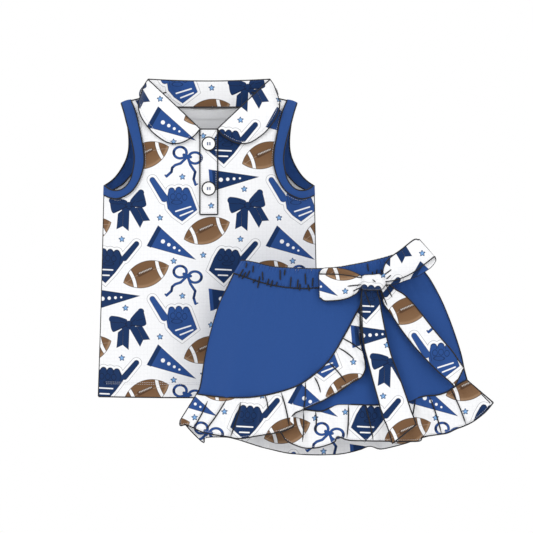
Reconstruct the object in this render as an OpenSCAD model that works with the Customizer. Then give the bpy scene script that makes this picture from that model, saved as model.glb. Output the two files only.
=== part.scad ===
// Child's two-piece cheer uniform: a sleeveless polo top and, held in front of its
// lower right side, a wrap skirt with ruffles and a sash bow. Millimetres, +Z up,
// front towards -Y, left and right as seen from the front. The origin is the middle of the
// shoulder line of the top.

/* [Top] */
// Depth of the top from its centre to the front at the chest
top_depth = 34; // [32:1:36]
// Thickness of the jersey panels
cloth = 1.2; // [1.0:0.1:1.4]
// Height of the folded hem
hem_h = 20; // [16:1:26]
// Width of the placket
placket_w = 25; // [22:1:28]
// Length of the placket
placket_l = 120; // [110:1:125]

/* [Buttons] */
// Diameter of each button
button_d = 19; // [15:1:20]
// Thickness of each button
button_t = 2.4; // [2:0.1:3]
// Distance of the four thread holes from the centre of a button
hole_pitch = 2.2; // [2:0.1:2.6]
// Diameter of a thread hole
hole_d = 1.8; // [1.6:0.1:2]

/* [Skirt] */
// Half-depth of the skirt at the waist
waist_depth = 22; // [20:1:24]
// Half-depth of the skirt below the hem
sweep_depth = 47; // [44:1:50]
// Tilt of the skirt as it is displayed, in degrees
skirt_tilt = 4; // [3:0.5:5]
// Depth of the folds of the over-ruffle
ruffle_t = 8; // [6:0.5:9]
// Height of the elastic inside the waistband
elastic_h = 14; // [12:1:16]

/* [Sash] */
// Depth of each bow loop, front to back
loop_t = 13; // [10:1:14]
// Depth of the knot
knot_t = 19; // [16:1:20]
// Thickness of the sash tails
tail_t = 3; // [2.5:0.1:4]

/* [Hidden] */
print_col = "whitesmoke";
royal = [0.18, 0.32, 0.57];

// form of the top
chest_h = 158;              // half-chord of the chest section
slope = 13.6;               // slope of the shoulders
ridge_z = 25;               // height where the two shoulder slopes meet
roof_r = 195;               // radius of the section over the shoulder
roof_l = 110;               // length of that section
hem_z = -418;
// skirt
sk_x = 167; sk_y = -95; sk_z = -226;
but_z1 = -62; but_z2 = -125;
but_y1 = -36.4; but_y2 = -38.4;

// points of a lens made of two arcs, half-length h, half-depth d, drawn in by g
function lens(h, d, g, n = 14) =
  let (r = (h * h + d * d) / (2 * d), c = r - d, q = r - g, a = acos(c / q))
  concat([for (i = [0 : n]) let (t = -a + 2 * a * i / n) [q * sin(t), c - q * cos(t)]],
         [for (i = [1 : n - 1]) let (t = a - 2 * a * i / n) [q * sin(t), q * cos(t) - c]]);
// section over the shoulder, ridge at 0, drawn in by g
function roof_pts(d, g, n = 7) =
  let (c = roof_r - d, q = roof_r - g, a = acos(c / q))
  concat([[-(d - g), -620]],
         [for (i = [0 : n]) [-(q * cos(a * i / n) - c), -roof_l + q * sin(a * i / n)]],
         [for (i = [n - 1 : -1 : 0]) [q * cos(a * i / n) - c, -roof_l + q * sin(a * i / n)]],
         [[d - g, -620]]);
function flip(p) = [for (i = [len(p) - 1 : -1 : 0]) [-p[i][0], p[i][1]]];

module roof(z0, s, d, g) {
  translate([0, 0, z0]) rotate([0, s, 0]) rotate([90, 0, 90])
    linear_extrude(height = 900, center = true) polygon(roof_pts(d, g));
}
// solid form of the top, drawn in by g
module form(g, z0 = ridge_z, d = top_depth) {
  intersection() {
    translate([0, 0, -470]) linear_extrude(height = 560) polygon(lens(chest_h, d, g));
    roof(z0, slope, d, g);
    roof(z0, -slope, d, g);
  }
}
// prism of an outline in the X-Z plane, in front of y0
module ahead(p, y0 = 0, h = 120) translate([0, y0, 0]) rotate([90, 0, 0]) linear_extrude(height = h) polygon(p);
// the same, behind y0
module behind(p, y0 = 0, h = 70) translate([0, y0 + h, 0]) rotate([90, 0, 0]) linear_extrude(height = h) polygon(p);

module skin_front(p, a, b, z0 = ridge_z) intersection() { difference() { form(a, z0); form(b, z0); } ahead(p); }
module skin_back(p, a, b, z0 = ridge_z) intersection() { difference() { form(a, z0); form(b, z0); } behind(p); }

// solid form of the skirt, drawn in by g
module skirt_form(g) {
  translate([sk_x, sk_y, sk_z]) rotate([0, -skirt_tilt, 0]) hull() {
    translate([0, 0, 40]) linear_extrude(height = 0.5) polygon(lens(115, waist_depth - 2, g, 12));
    translate([0, 0, -290]) linear_extrude(height = 0.5) polygon(lens(249, sweep_depth, g, 12));
  }
}
module skirt_front(p, a, b) intersection() { difference() { skirt_form(a); skirt_form(b); } ahead(p, sk_y); }
module skirt_back(p, a, b) intersection() { difference() { skirt_form(a); skirt_form(b); } behind(p, sk_y); }

// ---- outlines, right half or whole ----
arm_open_f = [[124, -5], [120, -17], [116, -32], [110, -53], [106, -71], [105, -85], [107, -99], [111, -113], [120, -124], [131, -127], [141, -125], [147, -120]];
arm_seam_f = [[110, -1], [104, -15], [99, -34], [95, -53], [92, -71], [91, -88], [94, -102], [99, -115], [107, -127], [117, -134], [130, -139], [141, -137], [148, -134]];
arm_open_b = [[124, -5], [118, -18], [116, -32], [114, -50], [114, -67], [117, -81], [123, -94], [131, -106], [139, -114], [147, -120]];
arm_seam_b = [[110, -1], [104, -18], [102, -32], [100, -50], [100, -68], [103, -86], [107, -99], [116, -111], [124, -119], [134, -125], [148, -134]];
function rev(p) = [for (i = [len(p) - 1 : -1 : 0]) p[i]];
v_top = [86, 29];
v_bot = [12.5, -41];
// right half of the front panel, from the V to the side
front_half = concat([[0, -41], v_bot, [55, -0.5], [60, 4.5], [106.9, -7.65]], [for (i = [1 : 11]) arm_seam_f[i]], [[142.4, -137], [150.8, hem_z], [0, hem_z]]);
back_half = concat([[0, -10], [46, -8.3], [66.2, 2.6], [106.9, -7.65]], [for (i = [1 : 9]) arm_seam_b[i]], [[142.4, -130.6], [142.4, -137], [150.8, hem_z], [0, hem_z]]);
// band between the seam and the opening of an armhole
bind_f = concat(arm_open_f, rev(arm_seam_f));
bind_b = concat(arm_open_b, rev(arm_seam_b));
bind_end = [[142.6, -136.6], [142.6, -121], [148.5, -119], [148.5, -134]];
side_strip = [[143, -137.6], [148.4, -134.2], [157, hem_z], [151, hem_z]];
shoulder_strip = [[60, 4.7], [60, 14], [109.8, 2], [109.8, -1.2], [107.1, -7.4]];

leaf = [[86, 30], [91, 22], [95, 11], [99, 1], [99.5, -6], [99, -14], [95, -24], [88, -35], [79, -45], [69, -53], [58, -60], [48, -61], [39, -60], [29, -56], [20, -51], [12.5, -42]];
stand_strip = [[86, 29], [90, 22], [62, -6], [20, -48], [12.8, -42]];

module front_panel() color(print_col) {
  skin_front(front_half, 0, cloth);
  mirror([1, 0, 0]) skin_front(front_half, 0, cloth);
}
module back_panel() color(print_col) {
  skin_back(back_half, 0, cloth);
  mirror([1, 0, 0]) skin_back(back_half, 0, cloth);
}
module hem_part(s) {
  p = [[-149, hem_z], [-149, hem_z + hem_h], [149, hem_z + hem_h], [149, hem_z]];
  if (s < 0) skin_front(p, cloth, 2 * cloth); else skin_back(p, cloth, 2 * cloth);
}
module hem_front() color("white") hem_part(-1);
module hem_back() color("white") hem_part(1);
module side_seam() intersection() { form(0); union() { ahead(side_strip); behind(side_strip); } }
module side_seam_right() color("white") side_seam();
module side_seam_left() color("white") mirror([1, 0, 0]) side_seam();
module shoulder_seam() intersection() { form(0); union() { ahead(shoulder_strip); behind(shoulder_strip); } }
module shoulder_seam_right() color("white") shoulder_seam();
module shoulder_seam_left() color("white") mirror([1, 0, 0]) shoulder_seam();
module binding() {
  skin_front(bind_f, -1, 2);
  skin_back(bind_b, -1, 2);
  intersection() { form(-1); union() { ahead(bind_end); behind(bind_end); } }
}
module armhole_binding_right() color(royal) binding();
module armhole_binding_left() color(royal) mirror([1, 0, 0]) binding();

// collar: the leaves lie on a form raised above the shoulders
leaf_z = 55;
module leaf_right() skin_front(leaf, -3.4, -1, leaf_z);
module collar_leaf_right() color(print_col) leaf_right();
module collar_leaf_left() color(print_col) mirror([1, 0, 0]) leaf_right();
module stand_right() intersection() {
  difference() { form(-0.6, leaf_z); form(-0.2); translate([-200, -4, -200]) cube([400, 100, 400]); }
  ahead(stand_strip);
}
module collar_stand_right() color(print_col) stand_right();
module collar_stand_left() color(print_col) mirror([1, 0, 0]) stand_right();
back_band = [[-84, 29], [-50, 28], [0, 27], [50, 28], [84, 29], [66, 3], [46, -8], [-46, -8], [-66, 3]];
module collar_band_back() color(print_col) intersection() {
  difference() {
    translate([0, 0, -60]) linear_extrude(height = 120) polygon(lens(87, 14, 0));
    translate([0, 0, -61]) linear_extrude(height = 122) polygon(lens(87, 14, 2.4));
  }
  behind(back_band);
}
back_fall = [[-86, 30], [-50, 28.5], [0, 27.5], [50, 28.5], [86, 30], [95, 11], [99, 0], [80, -14], [50, -22], [0, -25], [-50, -22], [-80, -14], [-99, 0], [-95, 11]];
module collar_fall_back() color(print_col) skin_back(back_fall, -3.4, -1, leaf_z);
tape = [[-56, -4], [-45, -10.5], [45, -10.5], [56, -4], [60, -14], [45, -24], [-45, -24], [-60, -14]];
module neck_tape() color("white") skin_back(tape, cloth + 0.1, cloth + 1.1);

// placket, two layers, with a button near each end
pl = [[-placket_w / 2, -41.5], [placket_w / 2, -41.5], [placket_w / 2, -41.5 - placket_l], [-placket_w / 2, -41.5 - placket_l]];
pu = [[-placket_w / 2 + 1.5, -43], [placket_w / 2 - 1.5, -43], [placket_w / 2 - 1.5, -39.5 - placket_l], [-placket_w / 2 + 1.5, -39.5 - placket_l]];
module placket_under() color("white") skin_front(pu, -1.1, -0.1);
module placket_upper() color(print_col) skin_front(pl, -2.3, -1.1);
module button(y, z) translate([0, y, z]) rotate([90, 0, 0]) difference() {
  union() {
    cylinder(d = button_d, h = button_t * 0.7, $fn = 64);
    cylinder(d = button_d - 1.6, h = button_t, $fn = 64);
  }
  for (a = [45 : 90 : 315]) rotate([0, 0, a]) translate([hole_pitch, 0, -1]) cylinder(d = hole_d, h = button_t + 2, $fn = 24);
  translate([0, 0, button_t * 0.62]) cylinder(d = button_d * 0.56, h = 2, $fn = 48);
}
module button_upper() color("white") button(but_y1, but_z1);
module button_lower() color("white") button(but_y2, but_z2);
module stitches(y, z) translate([0, y - button_t * 0.62, z]) {
  for (s = [-1, 1]) translate([s * 1.55, -0.35, 0]) cube([0.9, 0.7, 4], center = true);
}
module button_thread_upper() color(royal) stitches(but_y1, but_z1);
module button_thread_lower() color(royal) stitches(but_y2, but_z2);
module thread_shanks() color(royal) {
  translate([0, but_y1 + 0.9, but_z1]) rotate([90, 0, 0]) cylinder(d = 3, h = 0.6, $fn = 24);
  translate([0, but_y2 + 1.2, but_z2]) rotate([90, 0, 0]) cylinder(d = 3, h = 0.9, $fn = 24);
}

// ---- skirt ----
wb_top = [[46, -227], [64, -230], [89, -236], [114, -238], [152, -239], [180, -237], [198, -234], [219, -230], [240, -225], [254, -221], [285, -211]];
wb_low = [[36, -244], [51, -249], [72, -256], [93, -261], [114, -264], [135, -265], [153, -264], [184, -263], [211, -260], [240, -256], [270, -249], [299, -240]];
function down(p, a) = [for (q = p) [q[0], q[1] - a]];
band = concat(wb_top, rev(wb_low));
core_mid = [for (i = [0 : 10]) let (t = i / 10, x = 46 + 240 * t) [x, (-238 - 12 * sin(180 * t) + 14 * t) ]];
core = concat([for (q = core_mid) [q[0], q[1] + elastic_h / 2 + 1]], rev([for (q = core_mid) [q[0], q[1] - elastic_h / 2 + 1]]));
module band_part(s) {
  difference() {
    if (s < 0) skirt_front(band, -3, 2); else skirt_back(band, -3, 2);
    if (s < 0) skirt_front(core, -1.6, 0.6); else skirt_back(core, -1.6, 0.6);
  }
}
module waistband_front() color(royal) band_part(-1);
module waistband_back() color(royal) band_part(1);
module waist_elastic() color("ivory") intersection() {
  union() { skirt_front(core, -1.5, 0.5); skirt_back(core, -1.5, 0.5); }
  union() { ahead(band, sk_y); behind(band, sk_y); }
}

side_l = [[-16, -412], [-12, -405], [-9, -391], [-5, -365], [1, -337], [8, -311], [17, -284], [27, -263], [36, -244.4]];
side_r = [[300, -241], [310, -255], [324, -281], [335, -307], [345, -335], [352, -358], [356, -377], [360, -392]];
wrap_edge = [[213, -272], [211, -288], [204, -302], [194, -321], [185, -337], [178, -349], [170, -361], [159, -374], [146, -385], [132, -395], [118, -402], [100, -408], [79, -413], [58, -416], [37, -416.5], [9, -415]];
over_edge = [[211.5, -295], [210.5, -330], [212, -344], [217, -363], [218, -372], [217, -379], [212, -388], [198, -396], [184, -406], [170, -414], [159, -420], [146, -426], [128, -434], [120, -438], [114, -447], [119, -455], [107, -461], [93, -465], [75, -468], [44, -473], [23, -470], [2, -467], [-12, -463], [-30, -455], [-39, -456], [-39, -449], [-34, -435], [-26, -424], [-16, -412.4]];
over_top = down([for (i = [0 : 8]) wb_low[i]], 0.4);
over_all = concat(over_top, wrap_edge, side_l);
ruf_all = concat(over_edge, rev(down([for (i = [1 : 15]) wrap_edge[i]], 0.4)));
// fold line of the wrap corner
h1 = [201, -307]; h2 = [48, -465];
hd = (h2 - h1) / norm(h2 - h1);
hn = [-hd[1], hd[0]];
module cut(s, gap = 0.8) {
  a = h1 - 120 * hd + s * gap * hn; b = h2 + 120 * hd + s * gap * hn;
  polygon([a, b, b + s * 300 * hn, a + s * 300 * hn]);
}
module ahead_cut(p, s) translate([0, sk_y, 0]) rotate([90, 0, 0]) linear_extrude(height = 120) intersection() { polygon(p); cut(s); }
module over_shell(p, s, a, b) intersection() { difference() { skirt_form(a); skirt_form(b); } ahead_cut(p, s); }
module overskirt_panel() color(royal) over_shell(over_all, -1, -1.5, 0);
module wrap_flap_panel() color(royal) over_shell(over_all, 1, -1.5, 0);
module overskirt_ruffle() color(print_col) intersection() { over_shell(ruf_all, -1, -ruffle_t, 0); translate([-100, -200, -500]) cube([260, 120, 300]); }
module wrap_flap_ruffle() color(print_col) intersection() { over_shell(ruf_all, 1, -ruffle_t, -3); translate([-100, -200, -500]) cube([400, 120, 184]); }

under_seam = [[360, -392.4], [352, -396], [342, -402], [331, -409], [318, -413], [303, -414], [289, -417], [279, -421], [240, -426], [212, -426], [188, -425], [177, -426], [167, -431], [156, -435], [135, -433], [100, -430], [50, -428], [9, -420], [-14, -408]];
under_hem = [[-22, -444], [8, -456], [60, -462], [96, -462], [108, -475], [121, -482], [135, -486], [153, -485], [170, -480], [176, -477], [180, -470], [195, -475], [226, -476], [289, -477], [297, -471], [310, -469], [331, -466], [345, -460], [359, -455], [373, -447], [386, -437], [397, -424], [384, -412], [372, -400], [361, -393]];
side_lu = [[-13, -405], [-7, -391], [-3, -365], [3, -337], [10, -311], [19, -284], [29, -263], [38, -246]];
module underskirt_panel() color(royal) skirt_front(concat(down(wb_low, 0.4), [[300, -242]], [for (i = [1 : 7]) side_r[i]], [for (q = under_seam) [q[0], q[1] + 0.4]], side_lu), 2, 3.5);
module underskirt_ruffle() color(print_col) skirt_front(concat(under_seam, under_hem), 1, 9);
back_seam = [[-16, -412], [60, -436], [140, -444], [220, -438], [300, -420], [360, -392]];
back_hem = [[392, -424], [370, -445], [330, -464], [289, -477], [275, -482], [257, -487], [240, -490], [226, -486], [212, -491], [191, -496], [170, -498], [142, -498], [114, -496], [86, -490], [65, -484], [37, -475], [23, -472.5], [-4, -473], [-6, -482], [-19, -469], [-34, -452]];
module skirt_back_panel() color(royal) skirt_back(concat(down(wb_low, 0.4), [[296, -246]], [for (q = [for (i = [1 : 7]) side_r[i]]) [q[0] - 4, q[1]]], rev([for (q = back_seam) [q[0], q[1] + 0.4]]), [for (i = [1 : 7]) [side_l[i][0] + 4, side_l[i][1]]]), 0, 1.5);
module skirt_back_ruffle() color(print_col) skirt_back(concat(back_seam, back_hem), -4, 4);
// strips that close the sides of the skirt between the front and the back
seam_l = [[-13, -407], [-9, -391], [-5, -365], [1, -337], [8, -311], [17, -284], [27, -263], [33, -251]];
seam_r = [[304, -246], [310, -255], [324, -281], [335, -307], [345, -335], [352, -358], [356, -377], [359, -388]];
module side_fill(p) intersection() { skirt_form(3.6); union() { ahead(p, sk_y); behind(p, sk_y); } }
module skirt_side_seam_left() color(royal) intersection() { skirt_form(1.7); union() { behind(concat([for (q = seam_l) [q[0] - 1, q[1] + 1]], rev([for (q = seam_l) [q[0] + 16, q[1] + 1]])), sk_y); } }
module skirt_side_seam_right() color(royal) intersection() { skirt_form(1.7); union() { behind(concat([for (q = seam_r) [q[0] + 1, q[1] - 1]], rev([for (q = seam_r) [q[0] - 3.6, q[1] - 1]])), sk_y); } }

// ---- sash bow ----
band_y = -125.2;
module slab(p, y, t) translate([0, y, 0]) rotate([90, 0, 0]) linear_extrude(height = t) polygon(p);
loop_l = [[155, -240], [162, -237], [180, -237], [198, -241], [212, -247.5], [212, -265.5], [205, -272], [194, -278], [181, -281], [167, -282], [157, -281], [153.5, -260]];
loop_r = [[242.5, -244], [244, -235], [248, -227], [254, -221], [268, -211], [282, -200], [288, -196], [293, -198], [304, -210], [316, -223], [313, -230], [304, -239], [289, -248], [275, -253], [261, -258], [249, -259.5], [247.5, -252]];
knot = [[213.2, -249], [217, -246.5], [229, -246], [237, -245], [241.2, -247], [245.5, -254], [246, -259], [240, -266], [227, -267], [216, -266.5], [213.2, -264]];
tail_c = [[213, -271], [211.8, -288], [212.7, -309], [215.8, -340], [222, -368], [229, -395], [236, -420], [241, -440], [248, -456], [255, -479], [264, -477], [275, -468], [285, -459], [288, -453], [285, -444], [281, -434], [275, -416], [268, -396], [262, -379], [254, -358], [248, -335], [244, -316], [240, -295], [238, -281], [235, -271]];
tail_r = [[241, -274], [243.5, -286], [254, -301], [268, -322], [285, -344], [303, -364], [320, -381], [334, -393], [342, -401], [348, -392], [354, -381], [355, -375], [349, -367], [338, -351], [324, -335], [310, -318], [296, -300], [282, -283], [270, -272], [262, -267.5], [246, -267.5]];
module bow_loop_left() color(print_col) slab(loop_l, band_y, loop_t);
module bow_loop_right() color(print_col) slab(loop_r, band_y, loop_t);
module bow_knot() color(print_col) slab(knot, band_y + 1, knot_t);
module bow_tail_center() color(print_col) translate([0, -128, -271]) rotate([-5, 0, 0]) translate([0, 0, 271]) slab(tail_c, 0, tail_t);
module bow_tail_right() color(print_col) slab(tail_r, -121.5, tail_t);

front_panel();
back_panel();
shoulder_seam_left();
shoulder_seam_right();
side_seam_left();
side_seam_right();
hem_front();
hem_back();
armhole_binding_left();
armhole_binding_right();
collar_leaf_left();
collar_leaf_right();
collar_stand_left();
collar_stand_right();
collar_band_back();
collar_fall_back();
neck_tape();
placket_upper();
placket_under();
button_upper();
button_lower();
button_thread_upper();
button_thread_lower();
thread_shanks();
waistband_front();
waistband_back();
waist_elastic();
overskirt_panel();
overskirt_ruffle();
wrap_flap_panel();
wrap_flap_ruffle();
underskirt_panel();
underskirt_ruffle();
skirt_back_panel();
skirt_back_ruffle();
skirt_side_seam_left();
skirt_side_seam_right();
bow_knot();
bow_loop_left();
bow_loop_right();
bow_tail_center();
bow_tail_right();
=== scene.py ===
import bpy
import math
import numpy as np
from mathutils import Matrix, Vector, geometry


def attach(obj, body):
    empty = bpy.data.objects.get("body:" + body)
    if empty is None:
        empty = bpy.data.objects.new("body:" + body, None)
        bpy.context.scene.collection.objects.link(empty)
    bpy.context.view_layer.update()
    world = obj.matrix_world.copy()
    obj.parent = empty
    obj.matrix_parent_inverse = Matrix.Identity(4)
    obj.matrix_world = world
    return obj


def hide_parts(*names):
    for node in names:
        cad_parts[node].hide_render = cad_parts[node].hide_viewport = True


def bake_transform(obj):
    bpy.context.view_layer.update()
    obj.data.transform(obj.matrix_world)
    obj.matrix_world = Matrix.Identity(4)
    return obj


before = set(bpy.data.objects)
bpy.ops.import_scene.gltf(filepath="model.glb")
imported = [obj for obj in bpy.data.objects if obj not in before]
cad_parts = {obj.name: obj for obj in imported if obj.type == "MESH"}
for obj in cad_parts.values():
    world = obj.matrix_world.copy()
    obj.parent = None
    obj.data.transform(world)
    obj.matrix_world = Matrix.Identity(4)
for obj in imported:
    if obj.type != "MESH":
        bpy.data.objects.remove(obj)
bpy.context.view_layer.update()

S = 0.001
rng = np.random.default_rng(7)

# ------------------------------------------------------------------ curves in the X-Z plane, millimetres


def cr(pts, step=2.5):
    """Smooth open curve through the points, resampled every `step` mm."""
    p = np.array(pts, float)
    if len(p) == 2:
        n = max(2, int(round(np.linalg.norm(p[1] - p[0]) / step)) + 1)
        t = np.linspace(0, 1, n)[:, None]
        return p[0] * (1 - t) + p[1] * t
    q = np.vstack([2 * p[0] - p[1], p, 2 * p[-1] - p[-2]])
    out = []
    for i in range(1, len(q) - 2):
        a, b, c, d = q[i - 1], q[i], q[i + 1], q[i + 2]
        for t in np.linspace(0, 1, 24, endpoint=False):
            out.append(0.5 * (2 * b + (c - a) * t + (2 * a - 5 * b + 4 * c - d) * t * t + (3 * b - a - 3 * c + d) * t ** 3))
    out.append(q[-2])
    return resample(np.array(out), step)


def arc(p):
    return np.concatenate([[0], np.cumsum(np.linalg.norm(np.diff(p, axis=0), axis=1))])


def resample(p, step=None, n=None):
    s = arc(p)
    if n is None:
        n = max(2, int(round(s[-1] / step)) + 1)
    u = np.linspace(0, s[-1], n)
    return np.stack([np.interp(u, s, p[:, k]) for k in range(p.shape[1])], 1)


def join(*segs):
    out = [segs[0]]
    for s in segs[1:]:
        out.append(s[1:] if np.linalg.norm(s[0] - out[-1][-1]) < 0.3 else s)
    r = np.vstack(out)
    if np.linalg.norm(r[0] - r[-1]) < 0.3:
        r = r[:-1]
    return r


def mir(p):
    q = np.array(p, float)[::-1].copy()
    q[:, 0] *= -1
    return q


def inside(pts, poly):
    x, y = pts[:, 0], pts[:, 1]
    r = np.zeros(len(pts), bool)
    a, b = poly, np.roll(poly, -1, 0)
    for (x1, y1), (x2, y2) in zip(a, b):
        if y1 == y2:
            continue
        k = ((y1 > y) != (y2 > y)) & (x < (x2 - x1) * (y - y1) / (y2 - y1) + x1)
        r ^= k
    return r


def to_line(pts, line):
    """Distance of each point to an open polyline."""
    a, b = line[:-1], line[1:]
    d = b - a
    out = np.full(len(pts), 1e9)
    for i in range(len(a)):
        t = np.clip(((pts - a[i]) @ d[i]) / max(d[i] @ d[i], 1e-9), 0, 1)
        out = np.minimum(out, np.linalg.norm(pts - a[i] - t[:, None] * d[i], axis=1))
    return out


def ss(t, a=0.0, b=1.0):
    t = np.clip((np.asarray(t, float) - a) / (b - a), 0, 1)
    return t * t * (3 - 2 * t)


def area2(p):
    x, y = p[:, 0], p[:, 1]
    return 0.5 * abs(np.sum(x * np.roll(y, -1) - y * np.roll(x, -1)))


# ------------------------------------------------------------------ materials

ROYAL = (0.0190, 0.0690, 0.250)
NAVY = (0.0045, 0.027, 0.102)
INK = (0.006, 0.006, 0.009)
WHITE = (0.88, 0.885, 0.90)
BROWN = (0.172, 0.088, 0.041)
SKY = (0.225, 0.440, 0.78)


class Net:
    def __init__(self, tree):
        self.t = tree
        self.k = 0

    def new(self, kind, **kw):
        n = self.t.nodes.new(kind)
        n.location = ((self.k % 30) * 190, -(self.k // 30) * 260)
        self.k += 1
        for a, b in kw.items():
            setattr(n, a, b)
        return n

    def put(self, sock, val):
        if isinstance(val, bpy.types.NodeSocket):
            self.t.links.new(val, sock)
        else:
            if hasattr(sock, "default_value"):
                if sock.type == "RGBA" and len(val) == 3:
                    val = (*val, 1.0)
                sock.default_value = val

    def m(self, op, a, b=None, c=None, clamp=False):
        n = self.new("ShaderNodeMath", operation=op, use_clamp=clamp)
        self.put(n.inputs[0], a)
        if b is not None:
            self.put(n.inputs[1], b)
        if c is not None:
            self.put(n.inputs[2], c)
        return n.outputs[0]

    def v(self, op, a, b=None, c=None, scale=None):
        n = self.new("ShaderNodeVectorMath", operation=op)
        self.put(n.inputs[0], a)
        if b is not None:
            self.put(n.inputs[1], b)
        if c is not None:
            self.put(n.inputs[2], c)
        if scale is not None:
            self.put(n.inputs["Scale"], scale)
        return n.outputs["Value"] if op in ("DOT_PRODUCT", "LENGTH", "DISTANCE") else n.outputs[0]

    def mix(self, fac, a, b):
        n = self.new("ShaderNodeMix", data_type="RGBA")
        self.put(n.inputs["Factor"], fac)
        self.put(n.inputs[6], a)
        self.put(n.inputs[7], b)
        return n.outputs[2]


CELL = 167.4


def print_group():
    """A repeating game-day print in millimetres: bows, foam hands, balls, pennants and small stars."""
    g = bpy.data.node_groups.new("game_day_print", "ShaderNodeTree")
    g.interface.new_socket("Vector", in_out="INPUT", socket_type="NodeSocketVector")
    g.interface.new_socket("Color", in_out="OUTPUT", socket_type="NodeSocketColor")
    n = Net(g)
    P = n.new("NodeGroupInput").outputs[0]

    def cell(c, turn=0.0, flip=False):
        q = n.v("MULTIPLY_ADD", P, (1 / CELL, 1 / CELL, 0), (0.5 - c[0] / CELL, 0.5 - c[1] / CELL, 0.5))
        q = n.v("FRACTION", q)
        q = n.v("MULTIPLY_ADD", q, (-CELL if flip else CELL, CELL, 0), (CELL / 2 if flip else -CELL / 2, -CELL / 2, 0))
        if turn:
            r = n.new("ShaderNodeVectorRotate", rotation_type="Z_AXIS")
            n.put(r.inputs["Vector"], q)
            r.inputs["Angle"].default_value = -math.radians(turn)
            q = r.outputs[0]
        return q

    def circ(q, c, r):
        return n.m("SUBTRACT", n.v("DISTANCE", q, (c[0], c[1], 0)), r)

    def poly(q, pts, soft=0.0):
        p = np.array(pts, float)
        if np.sum(p[:, 0] * np.roll(p[:, 1], -1) - p[:, 1] * np.roll(p[:, 0], -1)) < 0:
            p = p[::-1]
        d = None
        for a, b in zip(p, np.roll(p, -1, 0)):
            e = (b - a) / np.linalg.norm(b - a)
            nn = (e[1], -e[0])
            k = n.m("SUBTRACT", n.v("DOT_PRODUCT", q, (nn[0], nn[1], 0)), float(a[0] * nn[0] + a[1] * nn[1]))
            if d is None:
                d = k
            elif soft:
                d = n.m("SMOOTH_MAX", d, k, soft)
            else:
                d = n.m("MAXIMUM", d, k)
        return d

    def caps(q, a, b, ra, rb=None):
        ba = np.array(b, float) - np.array(a, float)
        l2 = float(ba @ ba)
        pa = n.v("SUBTRACT", q, (a[0], a[1], 0))
        h = n.m("DIVIDE", n.v("DOT_PRODUCT", pa, (ba[0], ba[1], 0)), l2, clamp=True)
        d = n.v("LENGTH", n.v("MULTIPLY_ADD", n.v("SCALE", (float(ba[0]), float(ba[1]), 0.0), scale=h), (-1, -1, 0), pa))
        if rb is None:
            return n.m("SUBTRACT", d, ra)
        return n.m("SUBTRACT", n.m("MULTIPLY_ADD", h, ra - rb, d), ra)

    def un(*d):
        r = d[0]
        for k in d[1:]:
            r = n.m("MINIMUM", r, k)
        return r

    def mask(d, w=0.4):
        return n.m("MULTIPLY_ADD", d, -1 / w, 0.5, clamp=True)

    def ring(d, at, half, w=0.35):
        return mask(n.m("SUBTRACT", n.m("ABSOLUTE", n.m("SUBTRACT", d, at)), half), w)

    # white ground with a very faint ruled grid
    gx = n.v("ABSOLUTE", n.v("SUBTRACT", n.v("FRACTION", n.v("SCALE", P, scale=32 / CELL)), (0.5, 0.5, 0.5)))
    gs = n.new("ShaderNodeSeparateXYZ")
    n.put(gs.inputs[0], gx)
    gl = n.m("MULTIPLY_ADD", n.m("MINIMUM", gs.outputs[0], gs.outputs[1]), -14.0, 1.0, clamp=True)
    col = n.mix(gl, WHITE, tuple(0.935 * k for k in WHITE))

    # thin curled ribbon, tied in a bow
    q = cell((-29.9, -80.0))
    lo = n.v("MULTIPLY", q, (1, 1, 0))
    r1 = n.m("ABSOLUTE", n.m("SUBTRACT", n.v("LENGTH", n.v("MULTIPLY_ADD", lo, (1 / 1.12, 1 / 1.0, 0), (10.4 / 1.12, -5.6, 0))), 8.0))
    r2 = n.m("ABSOLUTE", n.m("SUBTRACT", n.v("LENGTH", n.v("MULTIPLY_ADD", lo, (1 / 1.18, 1 / 1.0, 0), (-10.4 / 1.18, 1.9, 0))), 7.8))
    rib = n.m("SUBTRACT", un(r1, r2), 1.65)
    tl = [(0, 0), (-9.6, -9.4), (-17.4, -12.0), (-21.6, -15.6), (-22.6, -21.4), (-29.5, -27.6)]
    tr = [(0, 0), (4.0, -11.6), (10.8, -21.6), (8.6, -31.4), (11.2, -39.4)]
    wide = lambda pts, r: [caps(q, a, b, r) for a, b in zip(pts, pts[1:])]
    rib = un(rib, circ(q, (0, 0), 2.7), caps(q, (0, 0), (-5.2, 2.4), 2.0), caps(q, (0, 0), (4.4, -0.6), 1.9), *wide(tl, 1.75), *wide(tr, 1.75),
             caps(q, (-29.5, -28.5), (-31.5, -26.0), 1.0), caps(q, (11.6, -39.4), (14.2, -38.6), 0.9))
    col = n.mix(mask(rib), col, ROYAL)
    dark = un(circ(q, (-19.6, 5.6), 3.3), circ(q, (19.2, -3.6), 3.9), circ(q, (-6.2, 13.0), 2.5), caps(q, tl[3], tl[4], 2.1), caps(q, tr[2], tr[3], 2.1))
    col = n.mix(n.m("MULTIPLY", mask(dark, 0.8), mask(rib)), col, (0.006, 0.024, 0.095))
    rim = n.m("MULTIPLY", mask(n.m("SUBTRACT", n.m("ABSOLUTE", n.m("ADD", rib, 0.15)), 0.22), 0.3), 0.8)
    col = n.mix(rim, col, (0.008, 0.022, 0.08))

    # balls
    for c, turn in (((-2.8, -184.2), 20.5), ((-88.4, -245.4), 20.5)):
        q = cell(c, turn)
        R, b = 42.0, 18.2
        body = n.m("MAXIMUM", circ(q, (0, R - b), R), circ(q, (0, -(R - b)), R))
        xyz = n.new("ShaderNodeSeparateXYZ")
        n.put(xyz.inputs[0], q)
        x, y = xyz.outputs[0], xyz.outputs[1]
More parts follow.
